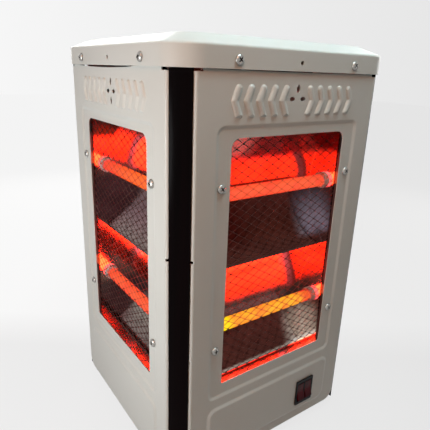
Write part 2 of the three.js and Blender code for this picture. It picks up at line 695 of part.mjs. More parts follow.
// Base pan and feet
function octagon(half, chamfer) {
  const short = chamfer - half;
  return polygon([
    [-half, -short], [-short, -half], [short, -half], [half, -short],
    [half, short], [short, half], [-short, half], [-half, short],
  ]);
}

function panSolid() {
  const wallTop = PAN_FLOOR + PAN_WALL;
  const inner = octagon(PAN_HALF - SHEET, PAN_CHAMFER - SHEET * Math.SQRT2);
  let pan = column(octagon(PAN_HALF, PAN_CHAMFER), PAN_UNDER, wallTop);
  pan = pan.subtract(column(inner, PAN_FLOOR, wallTop + OVERRUN));
  const through = [PAN_UNDER - OVERRUN, PAN_FLOOR + OVERRUN];
  for (const x of spread(FOOT_PLACE)) {
    for (const y of spread(FOOT_PLACE)) {
      const hole = oval(x, y, FOOT_STUD + SEAT_GAP, FOOT_STUD + SEAT_GAP);
      pan = pan.subtract(column(hole, ...through, SMALL_SIDES));
    }
  }
  const plungerHole = oval(TILT_PLACE_X, TILT_PLACE_Y, PLUNGER_RADIUS + SEAT_GAP, PLUNGER_RADIUS + SEAT_GAP);
  pan = pan.subtract(column(plungerHole, ...through, ROUND_SIDES));
  for (let i = 0; i < PAN_SLOT_COUNT; i++) {
    const y = (i - (PAN_SLOT_COUNT - 1) / 2) * PAN_SLOT_PITCH;
    const slot = roundedRect(
      -PAN_SLOT_LONG / 2, PAN_SLOT_LONG / 2, y - PAN_SLOT_WIDE / 2, y + PAN_SLOT_WIDE / 2,
      PAN_SLOT_WIDE / 2, PAN_SLOT_WIDE / 2,
    );
    const overTilt = Math.abs(y - TILT_PLACE_Y) < TILT_DEEP;
    if (!overTilt) pan = pan.subtract(column(slot, ...through));
  }
  return pan;
}

function footGeometry() {
  const top = PAN_UNDER - SEAT_GAP;
  const barb = PAN_FLOOR + SEAT_GAP;
  return turned([
    [0, 0],
    [FOOT_RADIUS - FOOT_CHAMFER, 0],
    [FOOT_RADIUS, FOOT_CHAMFER],
    [FOOT_TOP_RADIUS, top],
    [FOOT_STUD, top],
    [FOOT_STUD, barb],
    [FOOT_BARB, barb],
    [FOOT_STUD, barb + FOOT_BARB_TALL],
    [0, barb + FOOT_BARB_TALL],
  ]);
}

// Switch, built about its own centre in the plane of the front face
function switchSolid() {
  const bezel = roundedRect(
    -BEZEL_HALF_WIDE, BEZEL_HALF_WIDE, -BEZEL_HALF_TALL, BEZEL_HALF_TALL, BEZEL_CORNER, BEZEL_CORNER,
  );
  const housingBack = BEZEL_FACE + BEZEL_THICK + SWITCH_HOUSING_DEEP;
  let body = slab(bezel, BEZEL_FACE, BEZEL_FACE + BEZEL_THICK);
  body = body.add(box(
    -HOUSING_HALF_WIDE, HOUSING_HALF_WIDE, BEZEL_FACE + BEZEL_THICK / 2, housingBack,
    -HOUSING_HALF_TALL, HOUSING_HALF_TALL,
  ));
  for (const side of [-1, 1]) {
    const middle = side * POCKET_MIDDLE;
    const half = POCKET_WIDE / 2;
    body = body.subtract(box(
      middle - half, middle + half, BEZEL_FACE - OVERRUN, BEZEL_FACE + POCKET_DEEP,
      -POCKET_HALF_TALL, POCKET_HALF_TALL,
    ));
    for (const z of spread(BLADE_SPREAD)) {
      const [wide, thick] = [BLADE_WIDE / 2, BLADE_THICK / 2];
      const [root, tip] = [housingBack - BLADE_THICK, housingBack + BLADE_LONG];
      body = body.add(box(middle - wide, middle + wide, root, tip, z - thick, z + thick));
    }
  }
  return body;
}

// Rocker about its pivot, level: both halves of its hollow face lean out by the tilt
function rockerGeometry() {
  const end = ROCKER_ARM + ROCKER_HALF_TALL * Math.tan(ROCKER_TILT);
  const skirt = ROCKER_SKIRT_SHARES.map(([up, out]) => [-out * ROCKER_PIVOT_DEEP, up * ROCKER_HALF_TALL]);
  const upper = [[-end, ROCKER_HALF_TALL], ...skirt];
  const lower = upper.map(([depth, z]) => [depth, -z]).reverse();
  const outline = [[-ROCKER_ARM, 0], ...upper, ...lower];
  const half = POCKET_WIDE / 2 - ROCKER_CLEAR;
  return sideways(outline, -half, half);
}

// Terminal block, tilt switch and gland
function blockSolid() {
  let block = box(-BLOCK_WIDE / 2, BLOCK_WIDE / 2, -BLOCK_DEEP / 2, BLOCK_DEEP / 2, 0, BLOCK_TALL);
  for (let i = 0; i < BLOCK_WELLS; i++) {
    const x = ((i + 1 / 2) / BLOCK_WELLS - 1 / 2) * BLOCK_WIDE;
    const well = oval(x, 0, WELL_RADIUS, WELL_RADIUS);
    block = block.subtract(column(well, BLOCK_TALL - WELL_DEEP, BLOCK_TALL + OVERRUN, SMALL_SIDES));
  }
  return block;
}

function tiltSolid() {
  let body = box(-TILT_WIDE / 2, TILT_WIDE / 2, -TILT_DEEP / 2, TILT_DEEP / 2, 0, TILT_TALL);
  const reach = TILT_WIDE / 2 + TILT_EAR;
  let ears = box(-reach, reach, -TILT_DEEP / 2, TILT_DEEP / 2, 0, TILT_EAR_THICK);
  for (const x of spread(TILT_WIDE / 2 + TILT_EAR / 2)) {
    const hole = oval(x, 0, SCREW_HOLE, SCREW_HOLE);
    ears = ears.subtract(column(hole, -OVERRUN, TILT_EAR_THICK + OVERRUN, SMALL_SIDES));
  }
  body = body.add(ears);
  const bore = oval(0, 0, PLUNGER_RADIUS + SEAT_GAP, PLUNGER_RADIUS + SEAT_GAP);
  const boreTop = PLUNGER_LONG - BLOCK_BOTTOM + SEAT_GAP;
  return body.subtract(column(bore, -OVERRUN, boreTop, ROUND_SIDES));
}

function plungerGeometry() {
  return turned([
    [0, 0],
    [PLUNGER_RADIUS - PLUNGER_TIP, 0],
    [PLUNGER_RADIUS, PLUNGER_TIP],
    [PLUNGER_RADIUS, PLUNGER_LONG],
    [0, PLUNGER_LONG],
  ]);
}

function glandGeometry() {
  const flangeBack = -RAISE - SEAT_GAP;
  const nutFront = SHEET - RAISE + SEAT_GAP;
  const nutBack = nutFront + GLAND_NUT_THICK;
  return turnedIn([
    [GLAND_BORE, -ROCKER_REACH],
    [GLAND_NOSE, -ROCKER_REACH],
    [GLAND_NECK, flangeBack - GLAND_FLANGE_THICK],
    [GLAND_FLANGE, flangeBack - GLAND_FLANGE_THICK],
    [GLAND_FLANGE, flangeBack],
    [GLAND_NECK, flangeBack],
    [GLAND_NECK, nutFront],
    [GLAND_NUT, nutFront],
    [GLAND_NUT, nutBack],
    [GLAND_TAIL, nutBack],
    [GLAND_TAIL, nutBack + GLAND_TAIL_LONG],
    [GLAND_BORE, nutBack + GLAND_TAIL_LONG],
    [GLAND_BORE, -ROCKER_REACH],
  ]);
}

// A lead between two points, each end leaving along Y by its own sign
function leadGeometry(start, startSign, end, endSign, radius) {
  const first = new THREE.Vector3(...start);
  const last = new THREE.Vector3(...end);
  const route = new THREE.CurvePath();
  const leave = first.clone().add(new THREE.Vector3(0, startSign * LEAD_STRAIGHT, 0));
  const arrive = last.clone().add(new THREE.Vector3(0, endSign * LEAD_STRAIGHT, 0));
  const reach = LEAD_REACH_SHARE * Math.abs(last.y - first.y);
  const out = leave.clone().add(new THREE.Vector3(0, startSign * reach, 0));
  const back = arrive.clone().add(new THREE.Vector3(0, endSign * reach, 0));
  route.add(new THREE.LineCurve3(first, leave));
  route.add(new THREE.CubicBezierCurve3(leave, out, back, arrive));
  route.add(new THREE.LineCurve3(arrive, last));
  const section = [];
  for (let i = 0; i < SMALL_SIDES; i++) {
    const angle = (2 * Math.PI * i) / SMALL_SIDES;
    section.push([radius * Math.cos(angle), radius * Math.sin(angle)]);
  }
  return new THREE.ExtrudeGeometry(polygon(section), {
    steps: LEAD_STEPS,
    bevelEnabled: false,
    extrudePath: route,
  });
}

// Finishes
const finish = (color, roughness, metalness) => ({ color, roughness, metalness });
const PAINT = finish(0xc9cac2, 0.45, 0);
const POST_BLACK = finish(0x0c0a0a, 0.15, 0);
const WIRE = finish(0x1c1716, 0.5, 0.6);
const POLISHED = finish(0xb9b2ac, 0.15, 1);
const QUARTZ = finish(0xff5a2a, 0.3, 0);
const SCREW_METAL = finish(0x8f8d88, 0.35, 1);
const RUBBER = finish(0x1a1a1a, 0.85, 0);
const MOULDED_BLACK = finish(0x141212, 0.4, 0);
const ROCKER_RED = finish(0x6a0d12, 0.25, 0);
const CERAMIC = finish(0xd8d2c8, 0.7, 0);
const SLEEVE = finish(0xcfc8b8, 0.8, 0);
const GALVANISED = finish(0x9a9b98, 0.5, 0.8);

const heater = new THREE.Group();
heater.name = "quartz_heater";

function put(parent, name, shape, look, place = [0, 0, 0]) {
  const geometry = shape.isBufferGeometry ? shape : geometryOf(shape);
  const mesh = new THREE.Mesh(geometry, new THREE.MeshStandardMaterial(look));
  mesh.name = name;
  mesh.position.set(...place);
  parent.add(mesh);
  return mesh;
}

// The four sides: each is built facing -Y and turned to its place
const SIDES = [["front", 0], ["left", -1], ["rear", 2], ["right", 1]];
const SCREWED_SIDES = ["front", "left"];
const sideGuard = geometryOf(guardSolid(WINDOW_HEIGHT / 2, true));
const sideReflector = geometryOf(reflectorSolid(WINDOW_HEIGHT / 2, SIDE_LAND_DEPTH, true));
const sideSpread = tubeSpread(WINDOW_HEIGHT / 2);
for (const [name, turn] of SIDES) {
  const side = new THREE.Group();
  side.rotation.z = (turn * Math.PI) / 2;
  const face = new THREE.Group();
  face.position.set(0, -CASING_HALF, FLOOR_GAP);
  side.add(face);
  heater.add(side);
  put(face, `panel_${name}`, panelSolid(name), PAINT);
  put(face, `guard_${name}`, sideGuard.clone(), WIRE, [0, 0, WINDOW_MIDDLE]);
  put(face, `reflector_${name}`, sideReflector.clone(), POLISHED, [0, 0, WINDOW_MIDDLE]);
  for (const [level, rise] of [["upper", sideSpread], ["lower", -sideSpread]]) {
    put(face, `tube_${name}_${level}`, tubeGeometry(), QUARTZ, [0, TUBE_DEPTH, WINDOW_MIDDLE + rise]);
  }
  for (const [hand, x] of [["l", -1], ["r", 1]]) {
    const capPlace = [x * CAP_SCREW_ACROSS, CASING_HALF - CAP_HALF, PANEL_VISIBLE + CAP_SCREW_RISE];
    put(face, `cap_screw_${name}_${hand}`, screwGeometry(), SCREW_METAL, capPlace);
    for (const [level, z] of SCREWED_SIDES.includes(name) ? [["upper", 1], ["lower", -1]] : []) {
      const place = [x * PANEL_SCREW_ACROSS, SINK, WINDOW_MIDDLE + z * PANEL_SCREW_SPREAD];
      put(face, `panel_screw_${name}_${level}_${hand}`, screwGeometry(), SCREW_METAL, place);
    }
  }
}

// Corner posts
const POSTS = [["front_left", 0], ["rear_left", -1], ["rear_right", 2], ["front_right", 1]];
for (const [name, turn] of POSTS) {
  const post = column(postOutline(), FLOOR_GAP, LIP_BOTTOM + PANEL_TUCK);
  put(heater, `post_${name}`, post, POST_BLACK).rotation.z = (turn * Math.PI) / 2;
}

// Cap and the heating face in it
put(heater, "top_cap", capSolid(), PAINT);
const topFace = new THREE.Group();
topFace.rotation.x = -Math.PI / 2;
topFace.position.z = TOP_LEVEL;
heater.add(topFace);
put(topFace, "guard_top", guardSolid(WINDOW_HALF, false), WIRE);
const topSpread = tubeSpread(WINDOW_HALF);
put(topFace, "reflector_top", reflectorSolid(WINDOW_HALF, TOP_LAND_DEPTH, false), POLISHED);
put(topFace, "tube_top_rear", tubeGeometry(), QUARTZ, [0, TUBE_DEPTH, topSpread]);
put(topFace, "tube_top_front", tubeGeometry(), QUARTZ, [0, TUBE_DEPTH, -topSpread]);

// Base
put(heater, "base_pan", panSolid(), GALVANISED);
const FEET = [["front_left", -1, -1], ["front_right", 1, -1], ["rear_left", -1, 1], ["rear_right", 1, 1]];
for (const [name, x, y] of FEET) {
  put(heater, `foot_${name}`, footGeometry(), RUBBER, [x * FOOT_PLACE, y * FOOT_PLACE, 0]);
}
put(heater, "terminal_block", blockSolid(), CERAMIC, [SWITCH_ACROSS, BLOCK_PLACE_Y, BLOCK_BOTTOM]);
put(heater, "tilt_switch", tiltSolid(), MOULDED_BLACK, [TILT_PLACE_X, TILT_PLACE_Y, BLOCK_BOTTOM]);
put(heater, "tilt_plunger", plungerGeometry(), ROCKER_RED, [TILT_PLACE_X, TILT_PLACE_Y, 0]);

// Switch in the front panel
const switchLevel = FLOOR_GAP + SWITCH_RISE;
put(heater, "switch_body", switchSolid(), MOULDED_BLACK, [SWITCH_ACROSS, -CASING_HALF, switchLevel]);
for (const [name, side] of [["rocker_left", -1], ["rocker_right", 1]]) {
  const place = [SWITCH_ACROSS + side * POCKET_MIDDLE, ROCKER_PIVOT - CASING_HALF, switchLevel];
  put(heater, name, rockerGeometry(), ROCKER_RED, place).rotation.x = -ROCKER_TILT;
}

// Cable gland in the rear panel and the leads inside the base
const glandPlace = [SWITCH_ACROSS, CASING_HALF, switchLevel];
const gland = put(heater, "cable_gland", glandGeometry(), MOULDED_BLACK, glandPlace);
gland.rotation.z = Math.PI;
const glandEnd = CASING_HALF - (SHEET - RAISE + SEAT_GAP + GLAND_NUT_THICK + GLAND_TAIL_LONG);
const blockLevel = BLOCK_BOTTOM + BLOCK_TALL / 2;
const blockRear = BLOCK_PLACE_Y + BLOCK_DEEP / 2 + SEAT_GAP;
const blockFront = BLOCK_PLACE_Y - BLOCK_DEEP / 2 - SEAT_GAP;
const bladeEnd = BEZEL_FACE + BEZEL_THICK + SWITCH_HOUSING_DEEP + BLADE_LONG - CASING_HALF;
const glandPoint = [SWITCH_ACROSS, glandEnd - SEAT_GAP, switchLevel];
const blockRearPoint = [SWITCH_ACROSS, blockRear, blockLevel];
const blockFrontPoint = [SWITCH_ACROSS, blockFront, blockLevel];
const switchPoint = [SWITCH_ACROSS, bladeEnd + SEAT_GAP, switchLevel];
const supplyLead = leadGeometry(glandPoint, -1, blockRearPoint, 1, LEAD_RADIUS);
const switchLead = leadGeometry(blockFrontPoint, -1, switchPoint, 1, SWITCH_LEAD_RADIUS);
put(heater, "supply_lead", supplyLead, MOULDED_BLACK);
put(heater, "switch_lead", switchLead, SLEEVE);

export default heater;
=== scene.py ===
import math
import random

import bmesh
import bpy
import numpy as np
from mathutils import Matrix, Vector, geometry


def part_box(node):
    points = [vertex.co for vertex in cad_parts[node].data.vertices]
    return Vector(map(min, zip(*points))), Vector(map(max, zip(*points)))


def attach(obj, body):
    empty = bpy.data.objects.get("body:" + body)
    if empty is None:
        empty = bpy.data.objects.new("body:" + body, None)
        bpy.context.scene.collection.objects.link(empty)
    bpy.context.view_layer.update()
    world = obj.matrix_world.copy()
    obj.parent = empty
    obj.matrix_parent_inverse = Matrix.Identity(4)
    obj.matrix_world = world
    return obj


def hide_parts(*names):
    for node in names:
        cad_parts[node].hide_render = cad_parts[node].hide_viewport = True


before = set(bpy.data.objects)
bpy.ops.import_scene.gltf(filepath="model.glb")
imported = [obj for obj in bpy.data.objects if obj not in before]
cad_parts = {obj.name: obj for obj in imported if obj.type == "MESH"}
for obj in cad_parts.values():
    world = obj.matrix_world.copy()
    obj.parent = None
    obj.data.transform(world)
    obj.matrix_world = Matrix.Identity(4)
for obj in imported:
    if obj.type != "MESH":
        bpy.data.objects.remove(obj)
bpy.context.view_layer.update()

# Sizes in millimetres
MM = 0.001
CASING = 118.0  # half width of the casing
FLOOR_GAP = 8.0
TOP = 409.0
SHEET = 1.0

# Side panels
FLAT = 100.0  # half width of a panel's flat part, where the upright folds start
FOLD = 3.0
LOW_ROUND = 11.0  # the flat part's lower corners
NOTCH_LEVEL, NOTCH_HALF = 373.8, 96.0  # above this level the panel is narrower, under the cap
PANEL_TOP = 392.0
FLANGE, RELIEF, HEM = 12.0, 3.6, 9.0  # how deep the fold goes at the flange, beside it and at the hem
FLANGE_START, FLANGE_FULL = 18.0, 22.0  # levels between which the flange grows to its depth
HEM_HALF = 84.0  # half width of the hem under the base pan
FIELD, FIELD_LOW, FIELD_HIGH, FIELD_ROUND = 81.0, 80.0, 333.0, 6.0
SINK = 1.5  # how deep the field round the window lies
WINDOW, WIN_LOW, WIN_HIGH = 66.5, 93.0, 324.0
WIN_MID = (WIN_LOW + WIN_HIGH) / 2
HALF_TALL = (WIN_HIGH - WIN_LOW) / 2
WIN_ROUND, WIN_SHARP, WIN_EDGE = 8.0, 2.0, 0.4
PLINTH, PLINTH_LOW, PLINTH_HIGH, PLINTH_ROUND = 81.5, 14.0, 67.5, 8.0
RAISE = 1.5  # how far the field below the window stands out
WALL_RUN = 4.6  # width of the soft step round a pressed field

# Chevrons and vents
CHEVRON_LEVEL, CHEVRON_COUNT, CHEVRON_FIRST, CHEVRON_PITCH = 353.0, 5, 20.8, 12.4
LEAN, BAND, BAND_HALF = 4.9, 6.2, 12.0  # how far the tip stands out, width and half height of a band
CHEVRON_RISE, CHEVRON_RUN, CROWN_RISE = 1.35, 1.3, 0.65
BAND_ROUNDS = [0.9, 1.5, 2.75, 2.75, 1.5, 0.9]
MOUTH_SLOPE, MOUTH_TALL = 0.9, 2.0  # how much wider the step is at a chevron's lower end, and to what height
VENT_LEVEL = CHEVRON_LEVEL + 1
TALL_VENT, WIDE_VENT = (1.8, 3.4, 1.6), (2.9, 1.8, 1.8)  # half width, half height and power of the lens
VENT_UP, VENT_SIDE = 8.4, 6.2  # how far the vents stand from their middle

# Switch, gland, cap and screws
SWITCH_X, SWITCH_UP = 47.6, 36.8
SWITCH_LEVEL = SWITCH_UP + FLOOR_GAP
SWITCH_HOLE_WIDE, SWITCH_HOLE_TALL, GLAND_HOLE = 11.05, 13.8, 8.3  # half width, half height, radius
CAP, CAP_TALL, CAP_SLOPE = 120.0, 25.0, 8.0
CAP_FACE = CASING - CAP
SCREW_SIDE, SCREW_UP = 75.5, 76.0
CAP_SCREW_SIDE, CAP_SCREW_UP = 66.0, 382.8
CAP_HOLE, CAP_HOLE_BEHIND = 1.8, 2.6  # radius of the small hole in the lip, and in the panel behind it

# Guards, reflectors and tubes
GUARD_FRONT, GUARD_THICK = 2.8, 1.2
CELL_WIDE, CELL_TALL = 13.3, 7.9
WIRE = 0.25
RIM_DEPTH = 4.3
REFLECTOR_SHEET = 0.8
END_WALL = 65.0  # the bright end walls, drawn where the photograph shows them round the tube ends
SIDE_LAND, TOP_LAND = 12.0, 20.0  # depth of the ridge between two troughs
TROUGH_BEYOND = 5.2  # the troughs reach this far beyond the window
LAND_HALF = 8.4  # the troughs' middles stand as if a land of this half width were between them
RIDGE = 1.2  # half width of the ridge between two troughs
TUBE_DEPTH, TUBE = 18.6, 6.0  # depth of the tubes' axes and their radius
GLOW = 59.2  # half length of the glowing part
TUBE_PULL = (40.0, 0.95, 0.27)  # what the reflectors see of the tubes, far brighter than white


def shift(x, y, z):
    return Matrix.Translation((x * MM, y * MM, z * MM))


def quarter(count, axis):
    return Matrix.Rotation(count * math.pi / 2, 4, axis)


# A face is drawn in (across, depth, up): depth runs into the tower, and up starts at the panel's lower edge
SIDES = {"front": 0, "left": -1, "rear": 2, "right": 1}
FACE = {name: quarter(turn, "Z") @ shift(0, -CASING, FLOOR_GAP) for name, turn in SIDES.items()}
TOP_FACE = shift(0, 0, TOP) @ quarter(-1, "X")
MIDDLE = shift(0, 0, WIN_MID)


# Nodes of the materials
def plug(tree, made, sockets):
    """Sets each named input, or links it where the value is another node's socket."""
    for key, value in sockets.items():
        if isinstance(value, bpy.types.NodeSocket):
            tree.links.new(value, made.inputs[key])
        else:
            made.inputs[key].default_value = value


def node(tree, kind, sockets=None, **settings):
    made = tree.nodes.new(kind)
    for key, value in settings.items():
        setattr(made, key, value)
    plug(tree, made, sockets or {})
    return made


def surface(name, **sockets):
    made = bpy.data.materials.new(name)
    made.use_nodes = True
    shader = made.node_tree.nodes["Principled BSDF"]
    plug(made.node_tree, shader, {key.replace("_", " "): value for key, value in sockets.items()})
    return made, made.node_tree, shader


def bare(name):
    """A material without a shader yet."""
    made, tree, shader = surface(name)
    tree.nodes.remove(shader)
    return made, tree


def show(tree, shader):
    tree.links.new(shader, tree.nodes["Material Output"].inputs["Surface"])


def place(tree, scale=(1, 1, 1)):
    coords = node(tree, "ShaderNodeTexCoord")
    return node(tree, "ShaderNodeMapping", {"Vector": coords.outputs["Object"], "Scale": scale}).outputs[0]


def noise(tree, where, scale, detail=3.0, rough=0.55):
    sockets = {"Vector": where, "Scale": scale, "Detail": detail, "Roughness": rough}
    return node(tree, "ShaderNodeTexNoise", sockets).outputs["Fac"]


def ramp(tree, factor, stops):
    made = node(tree, "ShaderNodeValToRGB", {"Fac": factor})
    bar = made.color_ramp.elements
    while len(bar) < len(stops):
        bar.new(0.5)
    for element, (at, colour) in zip(bar, stops):
        element.position = at
        element.color = (*colour, 1)
    return made.outputs["Color"]


def span(tree, value, low, high):
    """The value, 0 to 1, spread from low to high."""
    return node(tree, "ShaderNodeMapRange", {"Value": value, "To Min": low, "To Max": high}).outputs["Result"]


def share_of(tree, value, low, high, **settings):
    """0 to 1 as the value goes from low to high."""
    sockets = {"Value": value, "From Min": low, "From Max": high}
    return node(tree, "ShaderNodeMapRange", sockets, **settings).outputs["Result"]


def maths(tree, operation, *values):
    return node(tree, "ShaderNodeMath", dict(enumerate(values)), operation=operation).outputs[0]


def mix(tree, factor, first, second, **settings):
    sockets = {"Factor": factor, "A": first, "B": second}
    return node(tree, "ShaderNodeMix", sockets, data_type="RGBA", **settings).outputs["Result"]


def mix_shader(tree, factor, first, second):
    return node(tree, "ShaderNodeMixShader", {"Fac": factor, 1: first, 2: second}).outputs[0]


def emission(tree, colour, strength=1.0):
    return node(tree, "ShaderNodeEmission", {"Color": colour, "Strength": strength}).outputs[0]


def bump(tree, shader, height, strength, distance, under=None):
    sockets = {"Height": height, "Strength": strength, "Distance": distance}
    if under:
        sockets["Normal"] = under
    normal = node(tree, "ShaderNodeBump", sockets).outputs["Normal"]
    plug(tree, shader, {"Normal": normal})
    return normal


def grey(level):
    return (level, level, level)


# Paint, posts and wires
def make_paint():
    made, tree, shader = surface("casing_paint", Specular_IOR_Level=0.30)
    where = place(tree)
    creams = [(0.3, (0.665, 0.665, 0.615)), (0.7, (0.70, 0.70, 0.655))]
    tone = ramp(tree, noise(tree, where, 9.0, 4.0), creams)
    dust = ramp(tree, noise(tree, where, 160.0, 5.0, 0.7), [(0.68, (1, 1, 1)), (0.78, (0.90, 0.885, 0.86))])
    plug(tree, shader, {
        "Base Color": mix(tree, 0.5, tone, dust, blend_type="MULTIPLY"),
        "Roughness": span(tree, noise(tree, where, 38.0), 0.28, 0.44),
    })
    broad = bump(tree, shader, noise(tree, where, 22.0, 2.0), 0.25, 0.0012)
    bump(tree, shader, noise(tree, where, 850.0, 2.0), 0.10, 0.0002, broad)
    return made


def make_post():
    made, tree, shader = surface("corner_post", Specular_IOR_Level=0.02)
    where = place(tree, (1, 1, 0.06))
    tints = [(0.3, (0.0022, 0.0016, 0.0018)), (0.75, (0.006, 0.0022, 0.0026))]
    plug(tree, shader, {
        "Base Color": ramp(tree, noise(tree, where, 60.0), tints),
        "Roughness": span(tree, noise(tree, where, 300.0), 0.10, 0.26),
    })
    bump(tree, shader, noise(tree, where, 260.0, 2.0), 0.12, 0.0004)
    return made


REACH = 126.0  # how far above and below the window's middle the tables of colours go


def by_height(tree, where):
    """The place's parts, and a function that makes a ramp from stops by height over the window's middle."""
    parts = node(tree, "ShaderNodeSeparateXYZ", {"Vector": where}).outputs
    level = share_of(tree, parts["Z"], -REACH * MM, REACH * MM)
    return parts, lambda stops: ramp(tree, level, [((up + REACH) / (2 * REACH), tone) for up, tone in stops])


def make_wire(name, glow):
    """Blackened wire with a painted glow: the glow gives, as emission, the heights where the hot tubes behind
    it make the wire look lit.
    """
    made, tree, shader = surface(name, Roughness=0.6, Specular_IOR_Level=0.0, Emission_Strength=1.0)
    where = place(tree)
    tints = [(0.3, (0.020, 0.014, 0.014)), (0.6, (0.050, 0.036, 0.034)), (0.8, (0.11, 0.085, 0.08))]
    plug(tree, shader, {
        "Emission Color": by_height(tree, where)[1](glow),
        "Base Color": ramp(tree, noise(tree, where, 45.0), tints),
    })
    bump(tree, shader, noise(tree, where, 1400.0), 0.4, 0.0001)
    return made


def held(*runs):
    """Stops that hold each colour from its first height to its last."""
    return [(up, colour) for low, high, colour in runs for up in (low, high)]


# Colours of the painted glow on the guard wires, from none through dim and red to full
GLOW_NONE, DIM, RED, GLOW_FULL = (0, 0, 0), (0.034, 0.010, 0.008), (0.15, 0.012, 0.008), (0.58, 0.065, 0.022)
SIDE_PAINTED_GLOW = [
    *held((-117, -59, DIM), (-57, -48, GLOW_FULL)), (-46, DIM), *held((-38, -10, RED), (-4, 63, DIM)),
    *held((65, 75, GLOW_FULL), (77, 92, RED)), (97, GLOW_NONE),
]
LEFT_PAINTED_GLOW = [
    *held((-117, -52, DIM), (-50, -41, GLOW_FULL)), (-39, DIM), *held((-32, -2, RED), (4, 66, DIM)),
    *held((68, 78, GLOW_FULL), (80, 96, RED)), (101, GLOW_NONE),
]
TOP_PAINTED_GLOW = [
    (-52, DIM), *held((-46, -34, GLOW_FULL), (-28, -12, RED), (-6, 6, DIM), (12, 28, RED), (34, 46, GLOW_FULL)),
    (52, DIM),
]

# Colours of the bright sheet by height over the window's middle, on its three parts and its end walls. They
# mix heat stains with painted light: the dark lower halves of the troughs are painted shade, and the pale,
# white and bluish bands are painted reflections and highlights.
# The gleam behind the lower tube and the pale tone on the lips are painted highlights; the near-black tone
# draws thin dark lines at the lip's foot and behind the upper tube.
CLEAR, DARK, MID = (0.055, 0.046, 0.038), (0.052, 0.0055, 0.0038), (0.080, 0.024, 0.018)
BROWN, NEAR_BLACK, PAINTED_GLEAM = (0.085, 0.026, 0.020), (0.004, 0.004, 0.005), (0.20, 0.085, 0.075)
PAINTED_LIP_GLEAM, PINK, END = (0.50, 0.40, 0.35), (0.55, 0.46, 0.40), (0.70, 0.44, 0.36)
FOOT = held((-126, -121.25, PINK), (-121.1, -120.2, NEAR_BLACK))
BEHIND_LOWER = [*held((-60, -1.5, CLEAR)), (-0.5, MID)]
BEHIND_UPPER = held((62, 64.4, CLEAR), (65.2, 67.0, NEAR_BLACK), (67.8, 89, CLEAR))
STAINS_AND_PAINTED_LIGHT = {
    "left": [
        *FOOT, *held((-119.9, -118.4, PAINTED_LIP_GLEAM)), (-117.8, BROWN), (-114, MID), (-90, (0.085, 0.021, 0.016)),
        (-74, DARK), *held((-68, -63, PAINTED_GLEAM)), *BEHIND_LOWER, (3, MID), *held((20, 58, DARK)), *BEHIND_UPPER,
        (94, (0.20, 0.065, 0.060)), (98, (0.36, 0.15, 0.13)), (111.8, (0.40, 0.19, 0.17)),
        *held((112.6, 119, (0.90, 0.70, 0.66))),
    ],
    "middle": [
        *FOOT, *held((-119.9, -118.6, PAINTED_LIP_GLEAM)), (-118.0, (0.20, 0.16, 0.12)), (-117.4, BROWN),
        (-90, (0.10, 0.025, 0.019)), (-74, DARK), *held((-68, -63, PAINTED_GLEAM)), *BEHIND_LOWER, (3, MID),
        (20, (0.066, 0.014, 0.009)), (58, (0.070, 0.014, 0.011)), *BEHIND_UPPER, (94, (0.10, 0.006, 0.005)),
        (111.8, (0.13, 0.008, 0.007)), *held((112.6, 119, (0.40, 0.10, 0.09))),
    ],
    "right": [
        *held((-126, -121.25, PINK), (-121.1, -120.6, BROWN)), (-120.3, (0.80, 0.70, 0.62)),
        (-119.4, (0.95, 0.90, 0.84)), (-117.2, (0.95, 0.88, 0.80)), (-116.2, (0.64, 0.52, 0.44)),
        (-112, (0.62, 0.50, 0.42)), (-92, (0.46, 0.36, 0.30)), (-80, (0.10, 0.055, 0.055)),
        (-68, (0.05, 0.03, 0.03)), *BEHIND_LOWER, (6, MID), (11, (0.23, 0.20, 0.24)),
        (24, (0.29, 0.25, 0.29)), (36, (0.20, 0.17, 0.195)), (50, (0.08, 0.050, 0.058)),
        *held((62, 92, CLEAR)),
        (98, (0.10, 0.012, 0.012)), (111.8, (0.20, 0.030, 0.029)), (119, (0.5, 0.12, 0.11)),
    ],
    "ends": [
        (-120, (0.9, 0.85, 0.8)), (-80, (0.85, 0.78, 0.72)), *held((-70, -3, END)), (4, (0.60, 0.56, 0.60)),
        (50, (0.66, 0.64, 0.70)), *held((59, 92, END)), (98, (0.25, 0.06, 0.05)), (122, (0.3, 0.08, 0.07)),
    ],
}
